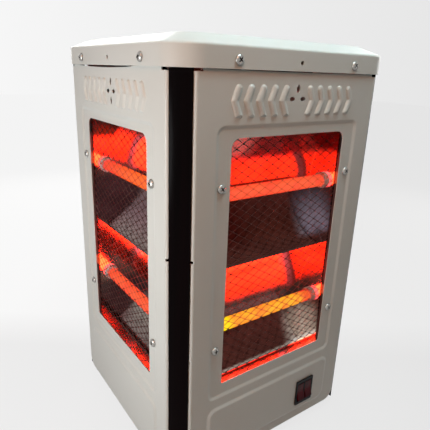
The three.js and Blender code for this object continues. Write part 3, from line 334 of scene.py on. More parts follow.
# The left reflector has its own table of heat stains and painted light, darker on its far side and paler near
# the front corner
LEFT_FOOT = [*held((-126, -121.2, (0.50, 0.40, 0.36)), (-121.0, -120.3, NEAR_BLACK)), (-120.1, BROWN)]
LEFT_STAINS_AND_PAINTED_LIGHT = {
    "left": [
        *LEFT_FOOT, (-118, (0.12, 0.050, 0.050)), (-76, (0.11, 0.050, 0.055)), (-68, DARK), *BEHIND_LOWER,
        (3, (0.17, 0.075, 0.075)), (20, (0.20, 0.085, 0.095)), (58, (0.19, 0.085, 0.090)),
        *held((62, 90, CLEAR)), (94, (0.014, 0.025, 0.030)), (119, (0.012, 0.022, 0.025)),
    ],
    "middle": [
        *LEFT_FOOT, (-118, (0.22, 0.16, 0.15)), (-88, (0.30, 0.25, 0.21)), (-76, (0.10, 0.06, 0.06)),
        (-68, DARK), *BEHIND_LOWER, (3, (0.24, 0.175, 0.16)), (24, (0.19, 0.105, 0.115)),
        (58, (0.14, 0.070, 0.070)), *held((62, 92, CLEAR)), (96, (0.007, 0.020, 0.022)),
        (119, (0.009, 0.022, 0.024)),
    ],
    "right": [
        *LEFT_FOOT, (-118, (0.22, 0.14, 0.16)), (-90, (0.24, 0.17, 0.17)), (-76, (0.08, 0.05, 0.05)),
        *BEHIND_LOWER, (3, (0.22, 0.165, 0.14)), (22, (0.20, 0.155, 0.135)), (44, (0.10, 0.068, 0.065)),
        (58, MID), *held((62, 92, CLEAR), (96, 119, (0.0045, 0.014, 0.016))),
    ],
    "ends": [
        (-120, (0.35, 0.25, 0.25)), (-80, (0.30, 0.22, 0.22)), *held((-70, -3, END)),
        *held((4, 50, (0.24, 0.15, 0.16)), (59, 92, END), (98, 122, (0.05, 0.09, 0.10))),
    ],
}
LEFT_TO_MIDDLE, MIDDLE_TO_RIGHT = (-46, -14), (30, 54)  # where across the sheet one part turns into the next


def make_reflector(name, stains_and_light):
    """Bright sheet with heat stains and painted light: painted shade, reflections and highlights. Its colours
    change with height and from its left part to its right one.
    """
    made, tree, shader = surface(name, Metallic=1.0)
    where = place(tree)
    parts, height_ramp = by_height(tree, where)
    tones = {key: height_ramp(stops) for key, stops in stains_and_light.items()}

    def across(low, high):
        return share_of(tree, parts["X"], low * MM, high * MM, interpolation_type="SMOOTHSTEP")

    tone = mix(tree, across(*LEFT_TO_MIDDLE), tones["left"], tones["middle"])
    tone = mix(tree, across(*MIDDLE_TO_RIGHT), tone, tones["right"])
    at_end = maths(tree, "GREATER_THAN", maths(tree, "ABSOLUTE", parts["X"]), (END_WALL - 0.1) * MM)
    inside = maths(tree, "GREATER_THAN", parts["Y"], (RIM_DEPTH + 1) * MM)
    tone = mix(tree, maths(tree, "MULTIPLY", at_end, inside), tone, tones["ends"])
    spots = ramp(tree, noise(tree, where, 30.0, 5.0, 0.6), [(0.34, grey(0.72)), (0.62, grey(1.15))])
    plug(tree, shader, {
        "Base Color": mix(tree, 1.0, tone, spots, blend_type="MULTIPLY"),
        "Roughness": span(tree, noise(tree, where, 60.0), 0.09, 0.17),
    })
    waves = bump(tree, shader, noise(tree, where, 12.0, 1.0), 0.12, 0.004)
    bump(tree, shader, noise(tree, place(tree, (1, 0.05, 0.05)), 900.0), 0.02, 0.0002, waves)
    return made


# Glowing tubes
STOPS_REACH = 60.0  # the stops of a tube's colours go this far from its middle
QUARTZ_BODY = 0.7  # how much the milky quartz covers


def mirrored_as(tree, seen, colour, strength):
    """The seen shader, and for glossy rays a glow of its own."""
    path = node(tree, "ShaderNodeLightPath")
    return mix_shader(tree, path.outputs["Is Glossy Ray"], seen, emission(tree, (*colour, 1), strength))


def glow_shader(tree, colour, strength):
    """Emission that is seen in its own colour and is far stronger for what mirrors it."""
    most = max(TUBE_PULL)
    pull = [channel / most for channel in TUBE_PULL]
    return mirrored_as(tree, emission(tree, colour, strength), pull, most)


def make_quartz(name, hot, warm, along_stops=None, reach=(0.36, 0.43)):
    """Milky quartz with the glow of the coil behind it. The stops give the colour along the tube, and take
    over between the two shares of its length from its middle."""
    made, tree = bare(name)
    where = place(tree)
    colour = ramp(tree, noise(tree, where, 95.0, 2.0), [(0.40, warm), (0.60, hot)])
    if along_stops:
        along = node(tree, "ShaderNodeSeparateXYZ", {"Vector": where}).outputs["X"]
        share = share_of(tree, along, -STOPS_REACH * MM, STOPS_REACH * MM)
        away = maths(tree, "ABSOLUTE", maths(tree, "SUBTRACT", share, 0.5))
        colour = mix(tree, share_of(tree, away, *reach), colour, ramp(tree, share, along_stops))
    gloss = node(tree, "ShaderNodeBsdfGlossy", {"Color": (*grey(0.03), 1), "Roughness": 0.15})
    both = node(tree, "ShaderNodeAddShader", {0: glow_shader(tree, colour, 1.0), 1: gloss.outputs[0]})
    clear = node(tree, "ShaderNodeBsdfTransparent")
    show(tree, mix_shader(tree, QUARTZ_BODY, clear.outputs[0], both.outputs[0]))
    return made


def make_coil(name, colour):
    made, tree = bare(name)
    dull = tuple(channel * 0.85 for channel in colour)
    tint = ramp(tree, noise(tree, place(tree), 90.0), [(0.35, dull), (0.65, colour)])
    show(tree, glow_shader(tree, tint, 1.2))
    return made


# Plain materials
def make_plain(name, colours, scale, roughs, grain, strength, **sockets):
    """A material whose colour and roughness wander between two values, with a fine grain."""
    made, tree, shader = surface(name, **sockets)
    where = place(tree)
    plug(tree, shader, {
        "Base Color": ramp(tree, noise(tree, where, scale, 4.0), [(0.32, colours[0]), (0.68, colours[1])]),
        "Roughness": span(tree, noise(tree, where, scale * 3), *roughs),
    })
    bump(tree, shader, noise(tree, where, grain), strength, 0.0002)
    return made


def make_ceramic():
    """Ceramic of the tube ends, with a painted red glow that only glossy rays see, so the reflectors show
    them glowing.
    """
    colours = [(0.42, 0.41, 0.39), (0.56, 0.55, 0.53)]
    made = make_plain("tube_ceramic", colours, 90.0, (0.35, 0.6), 1200.0, 0.2, Specular_IOR_Level=0.1)
    tree = made.node_tree
    # Painted glow: glossy rays see the ceramic as a red emission
    show(tree, mirrored_as(tree, tree.nodes["Principled BSDF"].outputs[0], (1.0, 0.13, 0.145), 4.0))
    return made


def make_pan():
    made, tree, shader = surface("base_pan", Metallic=0.85)
    where = place(tree)
    cells = node(tree, "ShaderNodeTexVoronoi", {"Vector": where, "Scale": 130.0})
    spangle = [(0.2, (0.34, 0.35, 0.35)), (0.8, (0.50, 0.51, 0.51))]
    plug(tree, shader, {
        "Base Color": ramp(tree, cells.outputs["Color"], spangle),
        "Roughness": span(tree, noise(tree, where, 50.0), 0.3, 0.55),
    })
    bump(tree, shader, noise(tree, where, 500.0), 0.1, 0.0002)
    return made


def make_sleeve():
    made, tree, shader = surface("lead_sleeve", Roughness=0.8)
    threads = {"Color1": (0.62, 0.57, 0.46, 1), "Color2": (0.45, 0.41, 0.33, 1)}
    weave = node(tree, "ShaderNodeTexChecker", {"Vector": place(tree), "Scale": 900.0, **threads}).outputs
    plug(tree, shader, {"Base Color": weave["Color"]})
    bump(tree, shader, weave["Fac"], 0.4, 0.0003)
    return made


PAINT, POST, PAN, SLEEVE = make_paint(), make_post(), make_pan(), make_sleeve()
NET = make_wire("guard_wire", SIDE_PAINTED_GLOW)
NET_LEFT = make_wire("guard_wire_left", LEFT_PAINTED_GLOW)
NET_TOP = make_wire("guard_wire_top", TOP_PAINTED_GLOW)
MIRROR = make_reflector("reflector", STAINS_AND_PAINTED_LIGHT)
MIRROR_LEFT = make_reflector("reflector_left", LEFT_STAINS_AND_PAINTED_LIGHT)
QUARTZ = make_quartz("quartz_tube", (1.0, 0.098, 0.036), (1.0, 0.061, 0.031))
QUARTZ_HOT = make_quartz(
    "quartz_tube_hot", (1.0, 0.45, 0.022), (1.0, 0.22, 0.026),
    [(0.0, (1.0, 0.93, 0.0)), (0.3, (1.0, 0.80, 0.0)), (0.7, (0.95, 0.045, 0.03)), (1.0, (0.85, 0.02, 0.02))],
)
QUARTZ_MIXED = make_quartz(
    "quartz_tube_mixed", (1.0, 0.125, 0.042), (1.0, 0.078, 0.036),
    [
        (0.0, (1.0, 0.045, 0.038)), (0.22, (1.0, 0.05, 0.026)), (0.42, (1.0, 0.11, 0.020)),
        (0.75, (1.0, 0.155, 0.020)), (1.0, (1.0, 0.15, 0.020)),
    ],
    (0.0, 0.02),
)
COIL = make_coil("coil", (1.0, 0.15, 0.045))
COIL_HOT = make_coil("coil_hot", (1.0, 0.42, 0.03))
STEEL = make_plain(
    "screw_steel", [(0.26, 0.245, 0.225), (0.44, 0.42, 0.39)], 300.0, (0.2, 0.38), 1500.0, 0.15, Metallic=1.0
)
# Painted shade: a near-black material for the inside of the screws' cross recess
RECESS_SHADE = make_plain(
    "screw_recess_painted_shade", [(0.02, 0.018, 0.016), (0.05, 0.045, 0.04)], 300.0, (0.5, 0.7), 1500.0, 0.15,
    Specular_IOR_Level=0.1,
)
CERAMIC = make_plain(
    "terminal_ceramic", [(0.66, 0.64, 0.63), (0.86, 0.84, 0.82)], 90.0, (0.35, 0.6), 1200.0, 0.2,
    Specular_IOR_Level=0.2,
)
TUBE_CERAMIC = make_ceramic()
RUBBER = make_plain(
    "foot_rubber", [(0.012, 0.012, 0.012), (0.026, 0.025, 0.024)], 80.0, (0.65, 0.9), 1600.0, 0.35
)
BLACK = make_plain(
    "switch_black", [(0.006, 0.006, 0.007), (0.015, 0.014, 0.015)], 120.0, (0.34, 0.5), 2200.0, 0.2,
    Specular_IOR_Level=0.08,
)
LENS = make_plain(
    "rocker_lens", [(0.045, 0.004, 0.006), (0.105, 0.006, 0.011)], 90.0, (0.12, 0.26), 1500.0, 0.05,
    Specular_IOR_Level=0.07,
)


# Mesh building, in millimetres
SKINS = (0, SHEET)
SHARP = math.radians(35.0)


def circle(count):
    """Cosine and sine at equal steps of a full turn."""
    angles = [2 * math.pi * i / count for i in range(count)]
    return [(math.cos(angle), math.sin(angle)) for angle in angles]


def arc(start, steps):
    """Cosine and sine at equal steps of a quarter turn."""
    angles = [start + math.pi / 2 * i / steps for i in range(steps + 1)]
    return [(math.cos(angle), math.sin(angle)) for angle in angles]


def at(loop, depth):
    return [(x, depth, z) for x, z in loop]


class Shell:
    """Points and faces of one mesh. A loop is a list of points in order."""

    def __init__(self):
        self.points = []
        self.faces = []

    def add(self, points):
        start = len(self.points)
        self.points.extend(points)
        return list(range(start, len(self.points)))

    def ring(self, loops, closed=True):
        """Joins each loop to the next one."""
        rows = [self.add(loop) for loop in loops]
        count = len(rows[0])
        for near, far in zip(rows, rows[1:]):
            for i in range(count if closed else count - 1):
                j = (i + 1) % count
                self.faces.append((near[i], near[j], far[j], far[i]))
        return rows

    def solid(self, loops):
        """Joins the loops and closes both ends."""
        rows = self.ring(loops)
        self.faces += [tuple(rows[0]), tuple(rows[-1])]
        return self

    def flat(self, outer, holes, depth):
        """Triangles between an outline and the outlines of its holes."""
        corners, edges = [], []
        for loop in [outer, *holes]:
            start, count = len(corners), len(loop)
            corners.extend(loop)
            edges.extend((start + i, start + (i + 1) % count) for i in range(count))
        vectors = [Vector(corner) for corner in corners]
        found, _, faces, *_ = geometry.delaunay_2d_cdt(vectors, edges, [], 0, 1e-5, False)
        spots = np.array([tuple(point) for point in found])
        triangles = np.array(faces)
        middle = spots[triangles].mean(axis=1)
        inside = np.zeros(len(triangles), bool)
        line = np.array(corners)
        for a, b in edges:
            (xa, ya), (xb, yb) = line[a], line[b]
            if ya == yb:
                continue
            crosses = (middle[:, 1] > min(ya, yb)) & (middle[:, 1] <= max(ya, yb))
            reach = xa + (middle[:, 1] - ya) * (xb - xa) / (yb - ya)
            inside ^= crosses & (reach > middle[:, 0])
        index = self.add([(x, depth, z) for x, z in spots])
        for triangle in triangles[inside]:
            self.faces.append(tuple(index[i] for i in triangle))


def rounded(half, low, high, radius, grow=0.0, steps=10, low_radius=None, middle=0.0):
    """Rectangle with rounded corners about an upright middle line, grown outward by grow."""
    foot = radius if low_radius is None else low_radius
    right, left = middle + half, middle - half
    corners = [
        (right - foot, low + foot, foot, -math.pi / 2), (right - radius, high - radius, radius, 0.0),
        (left + radius, high - radius, radius, math.pi / 2), (left + foot, low + foot, foot, math.pi),
    ]
    return [
        (x + (bend + grow) * c, z + (bend + grow) * s)
        for x, z, bend, start in corners for c, s in arc(start, steps)
    ]


def square(half, radius, grow=0.0, steps=10):
    return rounded(half, -half, half, radius, grow, steps)


def lens(x, z, wide, tall, power, grow, count=28):
    """Oval about a point. A power of 2 gives an ellipse, a smaller one pointed ends."""
    reach = 2 / power
    return [
        (
            x + (wide + grow) * math.copysign(abs(c) ** reach, c),
            z + (tall + grow) * math.copysign(abs(s) ** reach, s),
        )
        for c, s in circle(count)
    ]


def fillet(points, radii, steps=5):
    """Rounds the corners of a closed outline that turns left. Gives points and their outward normals."""
    out = []
    count = len(points)
    for i in range(count):
        p, a, b = Vector(points[i]), Vector(points[i - 1]), Vector(points[(i + 1) % count])
        to_a, to_b = (a - p).normalized(), (b - p).normalized()
        half = to_a.angle(to_b) / 2
        radius = radii[i]
        back = radius / math.tan(half)
        centre = p + (to_a + to_b).normalized() * (radius / math.sin(half))
        first, last = p + to_a * back - centre, p + to_b * back - centre
        turn = first.angle_signed(last)
        convex = (p - a).x * (b - p).y - (p - a).y * (b - p).x > 0
        for k in range(steps + 1):
            angle = -turn * k / steps
            arm = Vector((
                first.x * math.cos(angle) - first.y * math.sin(angle),
                first.x * math.sin(angle) + first.y * math.cos(angle),
            ))
            out.append((centre + arm, arm.normalized() if convex else -arm.normalized()))
    return out


def soften(points, radii, steps=4, closed=False):
    """Rounds the corners of a line of (a, b) points."""
    out = []
    last = len(points) - 1
    for i, point in enumerate(points):
        if radii[i] <= 0 or (not closed and i in (0, last)):
            out.append(tuple(point))
            continue
        p, a, b = Vector(point), Vector(points[i - 1]), Vector(points[(i + 1) % len(points)])
        to_a, to_b = (a - p).normalized(), (b - p).normalized()
        back = radii[i] / math.tan(to_a.angle(to_b) / 2)
        start, end = p + to_a * back, p + to_b * back
        for k in range(steps + 1):
            t = k / steps
            out.append(tuple((1 - t) ** 2 * start + 2 * t * (1 - t) * p + t * t * end))
    return out


def step_profile(run, start, end, steps=8):
    """Soft step: (outward offset, depth) from outside to inside."""
    shares = [i / steps for i in range(steps + 1)]
    return [
        (run * (0.5 - share), start + (end - start) * (0.5 - 0.5 * math.cos(math.pi * share)))
        for share in shares
    ]


def edge_profile(depth, radius, steps=3):
    """Edge of a hole in the sheet: (outward offset, depth) from the outer skin to the inner one."""
    turn = arc(0, steps)
    rows = [(radius * (1 - s), depth + radius * (1 - c)) for c, s in turn]
    return rows + [(radius * (1 - c), depth + SHEET - radius * (1 - s)) for c, s in turn]


def wall(shell, loop_at, start, end, run=WALL_RUN, steps=8):
    """A soft step on both skins of the sheet. Gives its outer and its inner outline."""
    rows = step_profile(run, start, end, steps)
    for skin in SKINS:
        shell.ring([at(loop_at(grow), depth + skin) for grow, depth in rows])
    return loop_at(rows[0][0]), loop_at(rows[-1][0])


def hole(shell, loop_at, depth, radius=0.3):
    """The edge of a hole through the sheet. Gives its outline."""
    rows = edge_profile(depth, radius)
    shell.ring([at(loop_at(grow), level) for grow, level in rows])
    return loop_at(rows[0][0])


TURNED = {"X": (2, 0, 1), "Y": (0, 2, 1), "Z": (0, 1, 2)}  # where x, y and z stand in a spot of lathe


def lathe(profile, sides=40, axis="X"):
    """Turned shell from a list of (radius, along), open only where the profile is closed itself."""
    loops = []
    for radius, along in profile:
        spots = [(radius * c, radius * s, along) for c, s in circle(sides)]
        loops.append([tuple(spot[k] for k in TURNED[axis]) for spot in spots])
    shell = Shell()
    if profile[0] == profile[-1]:
        shell.ring(loops)
        return shell
    return shell.solid(loops)


def round_loop(centre, first, second, radius, sides):
    """Circle about a centre, in the plane of two unit vectors."""
    return [tuple(centre + first * (radius * c) + second * (radius * s)) for c, s in circle(sides)]


# Pieces from shells
def stand(name, data):
    """A new object in the scene."""
    made = bpy.data.objects.new(name, data)
    bpy.context.scene.collection.objects.link(made)
    return made


def weigh(piece):
    piece.modifiers.new("weights", "WEIGHTED_NORMAL").keep_sharp = True


def put_mesh(name, mesh, matrix=None):
    piece = stand(name, mesh)
    if matrix is not None:
        piece.matrix_world = matrix
    weigh(piece)
    return piece


def paint(mesh, look):
    mesh.materials.clear()
    mesh.materials.append(look)
    mesh.shade_smooth()
    mesh.set_sharp_from_angle(angle=SHARP)
    return mesh


def finish_mesh(name, work, look):
    """The mesh of a bmesh, with its normals outward."""
    bmesh.ops.recalc_face_normals(work, faces=work.faces)
    mesh = bpy.data.meshes.new(name)
    work.to_mesh(mesh)
    work.free()
    return paint(mesh, look)


def mesh_of(name, shell, look, weld=0.0005):
    """The mesh of a shell, in metres."""
    work = bmesh.new()
    points = [work.verts.new((x * MM, y * MM, z * MM)) for x, y, z in shell.points]
    for face in shell.faces:
        ring = [points[i] for i in face]
        if len(set(ring)) > 2:
            try:
                work.faces.new(ring)
            except ValueError:
                continue
    bmesh.ops.remove_doubles(work, verts=work.verts, dist=weld * MM)
    loose = [vertex for vertex in work.verts if not vertex.link_faces]
    bmesh.ops.delete(work, geom=loose, context="VERTS")
    return finish_mesh(name, work, look)


def build(name, shell, look, matrix=None):
    return put_mesh(name, mesh_of(name, shell, look), matrix)


MESHES = {}


def put(name, maker, look, where, **settings):
    """A piece from a function that makes its shell. The same maker and look share one mesh."""
    key = (maker, look.name)
    if key not in MESHES:
        MESHES[key] = mesh_of(name, maker(), look, **settings)
    return put_mesh(name, MESHES[key], where)


def cut(piece, tools, operation="DIFFERENCE"):
    """Applies booleans to the piece's mesh, with tools in the piece's own coordinates."""
    piece.modifiers.clear()
    where, look = piece.matrix_world.copy(), piece.data.materials[0]
    for tool in tools:
        tool.matrix_world = where
        made = piece.modifiers.new("cut", "BOOLEAN")
        made.operation = operation
        made.solver = "EXACT"
        made.object = tool
        bpy.context.view_layer.update()
        result = piece.evaluated_get(bpy.context.evaluated_depsgraph_get())
        result = bpy.data.meshes.new_from_object(result)
        piece.modifiers.remove(made)
        piece.data = result
    paint(piece.data, look)
    weigh(piece)
    for tool in tools:
        bpy.data.objects.remove(tool)


def mesh_only(piece):
    """The piece's mesh, once the piece itself is gone."""
    mesh = piece.data
    bpy.data.objects.remove(piece)
    return mesh


def seat(piece, slot, *nodes, body="casing"):
    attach(piece, body)
    if nodes:
        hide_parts(*nodes)


# Side panels
def fold_path(grow):
    """The panel's edge from its left notch round the bottom to its right one, and the fold's depth there."""
    side, low = FLAT + grow, FOLD - grow
    reach, middle = LOW_ROUND + grow, FLAT - LOW_ROUND

    def corner(x, start):
        return [((x + reach * c, FOLD + LOW_ROUND + reach * s), RELIEF) for c, s in arc(start, 10)]

    return [
        ((-side, NOTCH_LEVEL), FLANGE), ((-side, FLANGE_FULL), FLANGE), ((-side, FLANGE_START), RELIEF),
        *corner(-middle, math.pi),
        ((-HEM_HALF - 1, low), RELIEF), ((-HEM_HALF, low), HEM), ((HEM_HALF, low), HEM),
        ((HEM_HALF + 1, low), RELIEF),
        *corner(middle, 1.5 * math.pi),
        ((side, FLANGE_START), RELIEF), ((side, FLANGE_FULL), FLANGE), ((side, NOTCH_LEVEL), FLANGE),
    ]


def folds(shell):
    """The upright and lower folds, outer and inner skin, with their edges. Gives the face's outline."""
    outer, inner = [], []
    for c, s in arc(0, 8):
        for skin, first, turn in ((outer, 0, FOLD), (inner, SHEET, FOLD - SHEET)):
            skin.append([(x, first + turn * (1 - c), z) for (x, z), _ in fold_path(turn * s)])
    outer.append([(x, deep, z) for (x, z), deep in fold_path(FOLD)])
    inner.append([(x, deep, z) for (x, z), deep in fold_path(FOLD - SHEET)])
    shell.ring(outer, closed=False)
    shell.ring(inner, closed=False)
    shell.ring([outer[-1], inner[-1]], closed=False)
    for end in (0, -1):
        shell.ring([[row[end] for row in outer], [row[end] for row in inner]], closed=False)
    upper = [
        (NOTCH_HALF, NOTCH_LEVEL), (NOTCH_HALF, PANEL_TOP),
        (-NOTCH_HALF, PANEL_TOP), (-NOTCH_HALF, NOTCH_LEVEL),
    ]
    outline = [point for point, _ in fold_path(0)] + upper
    edge = [*outline[-5:], outline[0]]
    shell.ring([at(edge, depth) for depth in SKINS], closed=False)
    return outline


def chevron_loop(tip, side, offset):
    """One pressed band, grown by offset. Its lower end slopes more gently, like a louvre's mouth."""
    points = [
        (tip - LEAN, -BAND_HALF), (tip, 0), (tip - LEAN, BAND_HALF),
        (tip - LEAN - BAND, BAND_HALF), (tip - BAND, 0), (tip - LEAN - BAND, -BAND_HALF),
    ]
    loop = []
    for point, normal in fillet(points, BAND_ROUNDS):
        mouth = 1.0 - min(max((point.y + BAND_HALF) / MOUTH_TALL, 0.0), 1.0)
        moved = point + normal * offset * (1 + MOUTH_SLOPE * mouth)
        loop.append((side * moved.x, CHEVRON_LEVEL + moved.y))
    return loop if side > 0 else loop[::-1]


def nearest_on(spine, point):
    found = None
    for a, b in zip(spine, spine[1:]):
        t = min(max((point - a).dot(b - a) / (b - a).length_squared, 0.0), 1.0)
        spot = a + (b - a) * t
        if found is None or (spot - point).length < (found - point).length:
            found = spot
    return found


def chevron_crown(edge_loop, tip, side):
    """Loops from a band's shoulder to near its spine, rising to a rounded crown."""
    low_out, low_up, high_out, high_down = 0.5, 1.6, 1.0, 2.6  # where the spine's ends stand in the band's
    spine = [
        Vector((side * (tip - LEAN - BAND / 2 + low_out), CHEVRON_LEVEL - BAND_HALF + low_up)),
        Vector((side * (tip - BAND / 2), CHEVRON_LEVEL)),
        Vector((side * (tip - LEAN - BAND / 2 + high_out), CHEVRON_LEVEL + BAND_HALF - high_down)),
    ]
    loops = []
    for share in (0.72, 0.44, 0.18):
        loop = []
        for point in map(Vector, edge_loop):
            nearest = nearest_on(spine, point)
            loop.append(tuple(nearest + (point - nearest) * share))
        loops.append((loop, 1 - share * share))
    return loops


def chevron(shell, tip, side):
    """One band on both skins. Gives its outline on the face."""
    edge_loop, top_loop = wall(
        shell, lambda grow: chevron_loop(tip, side, grow), 0, -CHEVRON_RISE, CHEVRON_RUN, 6
    )
    crown = chevron_crown(top_loop, tip, side)
    for skin in SKINS:
        levels = [(top_loop, 0), *crown]
        rows = [at(loop, -CHEVRON_RISE - CROWN_RISE * rise + skin) for loop, rise in levels]
        shell.ring(rows)
        shell.flat(crown[-1][0], [], rows[-1][0][1])
    return edge_loop


def panel(kind):
    shell = Shell()
    outline = folds(shell)
    field_edge, field_in = wall(
        shell, lambda grow: rounded(FIELD, FIELD_LOW, FIELD_HIGH, FIELD_ROUND, grow), 0, SINK
    )
    plinth_edge, plinth_in = wall(
        shell, lambda grow: rounded(PLINTH, PLINTH_LOW, PLINTH_HIGH, PLINTH_ROUND, grow), 0, -RAISE
    )
    tips = [CHEVRON_FIRST + CHEVRON_PITCH * i for i in range(CHEVRON_COUNT)]
    on_face = [field_edge, plinth_edge, *(chevron(shell, tip, side) for tip in tips for side in (-1, 1))]
    rises = (VENT_UP,) if kind == "front" else (VENT_UP, -VENT_UP)
    small_holes = [
        *((0, VENT_LEVEL + rise, *TALL_VENT) for rise in rises),
        *((x, VENT_LEVEL, *WIDE_VENT) for x in (-VENT_SIDE, VENT_SIDE)),
        (0, CAP_SCREW_UP, CAP_HOLE_BEHIND, CAP_HOLE_BEHIND, 2.0),
    ]
    on_face += [hole(shell, lambda grow, spot=spot: lens(*spot, grow), 0) for spot in small_holes]
    window = hole(
        shell, lambda grow: rounded(WINDOW, WIN_LOW, WIN_HIGH, WIN_ROUND, grow, low_radius=WIN_SHARP),
        SINK, WIN_EDGE,
    )
    on_plinth = []
    if kind == "front":
        low, high = SWITCH_UP - SWITCH_HOLE_TALL, SWITCH_UP + SWITCH_HOLE_TALL
        on_plinth = [hole(
            shell, lambda grow: rounded(SWITCH_HOLE_WIDE, low, high, 1, grow, 4, middle=SWITCH_X), -RAISE
        )]
    if kind == "rear":
        on_plinth = [hole(
            shell, lambda grow: lens(-SWITCH_X, SWITCH_UP, GLAND_HOLE, GLAND_HOLE, 2.0, grow, 40), -RAISE
        )]
    for skin in SKINS:
        shell.flat(outline, on_face, skin)
        shell.flat(field_in, [window], SINK + skin)
        shell.flat(plinth_in, on_plinth, skin - RAISE)
    return shell


NOTCHES = [(226.3, 1.3, 2.2), (130.1, 0.8, 1.0), (96.9, 0.6, 0.8)]  # level, half height, depth
GAP_LOW, GAP_HIGH = 375.8, 376.9  # just below and above the lip's lower edge
LIP_GAPS = {"front": (-94.0, 94.0, 0.45), "left": (-80.0, 48.0, 1.6)}  # from, to, how far it drops


def notch_cutters():
    """Boxes that cut the small notches in the upright folds."""
    shell = Shell()
    for level, tall, deep in NOTCHES:
        for side in (-1, 1):
            near, far = side * (FLAT + FOLD - deep), side * (FLAT + FOLD + 1)
            loop = [(near, level - tall), (far, level - tall), (far, level + tall), (near, level + tall)]
            shell.solid([at(loop, depth) for depth in (-1, 6)])
    return shell


def lip_gap_cutter(left, right, drop):
    """A long thin lens: the panel's edge stands a little clear of the cap's lip."""
    middle, half = (left + right) / 2, (right - left) / 2
    shares = [i / 12 - 1 for i in range(25)]
    low = [(middle + half * share, GAP_LOW - drop * (1 - share ** 2) ** 0.8) for share in shares]
    outline = [*low, (right, GAP_HIGH), (left, GAP_HIGH)]
    return Shell().solid([at(outline, depth) for depth in (-0.6, 1.7)])


for kind in SIDES:
    made = build(f"panel_skin_{kind}", panel(kind), PAINT, FACE[kind])
    tools = [build("notch_tool", notch_cutters(), PAINT)]
    if kind in LIP_GAPS:
        tools.append(build("gap_tool", lip_gap_cutter(*LIP_GAPS[kind]), PAINT))
    cut(made, tools)
    seat(made, "casing_paint", f"panel_{kind}")


# Cap, drawn as the top face: depth runs down
CAP_FLAT, CAP_INNER = 101.0, 93.0  # half width where the slope starts, and of the flat part's first loop
CAP_BEND, CAP_BEND_MORE = 16.0, 10.0  # corner radius at the slope's start, and how much it grows to the lip


def cap_shell():
    """Slope, lip and flat top of one sheet, with the sunk field and its window."""
    inside_wide = CAP - SHEET
    outside = soften(
        [(CAP_INNER, 0), (CAP_FLAT, 0), (CAP, CAP_SLOPE), (CAP, CAP_TALL)], [0, 6, 2.6, 0], 8
    )
    inside = soften(
        [(inside_wide, CAP_TALL), (inside_wide, 8.7), (100.8, SHEET), (CAP_INNER, SHEET)], [0, 1.8, 7, 0], 8
    )
    lip = [(CAP, 24.7), (CAP - 0.15, 24.93), (CAP - 0.5, 25.0), (CAP - 0.85, 24.93), (inside_wide, 24.7)]
    line = [(half, depth, 0.0) for half, depth in outside[:-1] + lip[:3]]
    line += [(half, depth, SHEET) for half, depth in lip[3:] + inside[1:]]
    loops = []
    for half, depth, skin in line:
        radius = CAP_BEND + (half + skin - CAP_FLAT) * CAP_BEND_MORE / (CAP - CAP_FLAT) - skin
        loops.append(at(square(half, radius, 0, 14), depth))
    shell = Shell()
    shell.ring(loops)
    field_edge, field_in = wall(shell, lambda grow: square(FIELD, FIELD_ROUND, grow), 0, SINK)
    window = hole(shell, lambda grow: square(WINDOW, WIN_ROUND, grow), SINK, WIN_EDGE)
    outline = [(x, z) for x, _, z in loops[0]]
    for skin in SKINS:
        shell.flat(outline, [field_edge], skin)
        shell.flat(field_in, [window], SINK + skin)
    return shell


def cap_drill(across_x, side):
    """Drills the small hole in the middle of one side of the lip."""
    drill = lathe([(CAP_HOLE, CAP - 4), (CAP_HOLE, CAP + 2)], 24)
    level = TOP - FLOOR_GAP - CAP_SCREW_UP
    drill.points = [
        (side * along, level + b, a) if across_x else (a, level + b, side * along)
        for along, a, b in drill.points
    ]
    return build("drill_tool", drill, PAINT)


cap = build("cap_skin", cap_shell(), PAINT, TOP_FACE)
cut(cap, [cap_drill(across_x, side) for across_x in (True, False) for side in (-1, 1)])
seat(cap, "casing_paint", "top_cap")


# Corner posts
def post_shell():
    """A bent strip that bulges a little, with a leg behind each panel's fold."""
    near, far = FLAT + FOLD + 0.3, CASING - 1.2
    thick, leg, bulge = 1.6, 11.0, 1.0
    leg_end, inner = far - leg, near + thick
    slope = near + far - thick * math.sqrt(2)
    front = []
    for share in [i / 16 for i in range(17)]:
        swell = 4 * share * (1 - share) * bulge * math.sqrt(0.5)
        front.append((-near - share * (far - near) - swell, -far + share * (far - near) - swell))
    back = [
        (-leg_end, -near), (-leg_end, -inner), (inner - slope, -inner),
        (-inner, inner - slope), (-inner, -leg_end), (-near, -leg_end),
    ]
    outline = soften(front + back, [0.5] + [0] * 15 + [0.5] + [0.4] * 6, 3, closed=True)
    low, high = FLOOR_GAP, FLOOR_GAP + PANEL_TOP
    return Shell().solid([[(x, y, z) for x, y in outline] for z in (low, low + 0.4, high - 0.4, high)])


for name, turn in {"front_left": 0, "rear_left": -1, "rear_right": 2, "front_right": 1}.items():
    seat(put(f"post_{name}_skin", post_shell, POST, quarter(turn, "Z")), "corner_post", f"post_{name}")


# Guards: diamond netting welded at its crossings, in a flat rim
def wire_between(shell, start, end):
    along = (end - start).normalized()
    side = along.cross(Vector((0, 1, 0))).normalized()
    up = along.cross(side)
    shell.solid([round_loop(point, side, up, WIRE, 8) for point in (start, end)])


def knot(shell, x, depth, z, wide, deep):
    """A small flattened bead of weld."""
    shell.solid([
        [(x + wide * share * c, depth + deep * level, z + wide * share * s) for c, s in circle(8)]
        for level, share in ((-1.0, 0.35), (-0.45, 0.9), (0.45, 0.9), (1.0, 0.35))
    ])


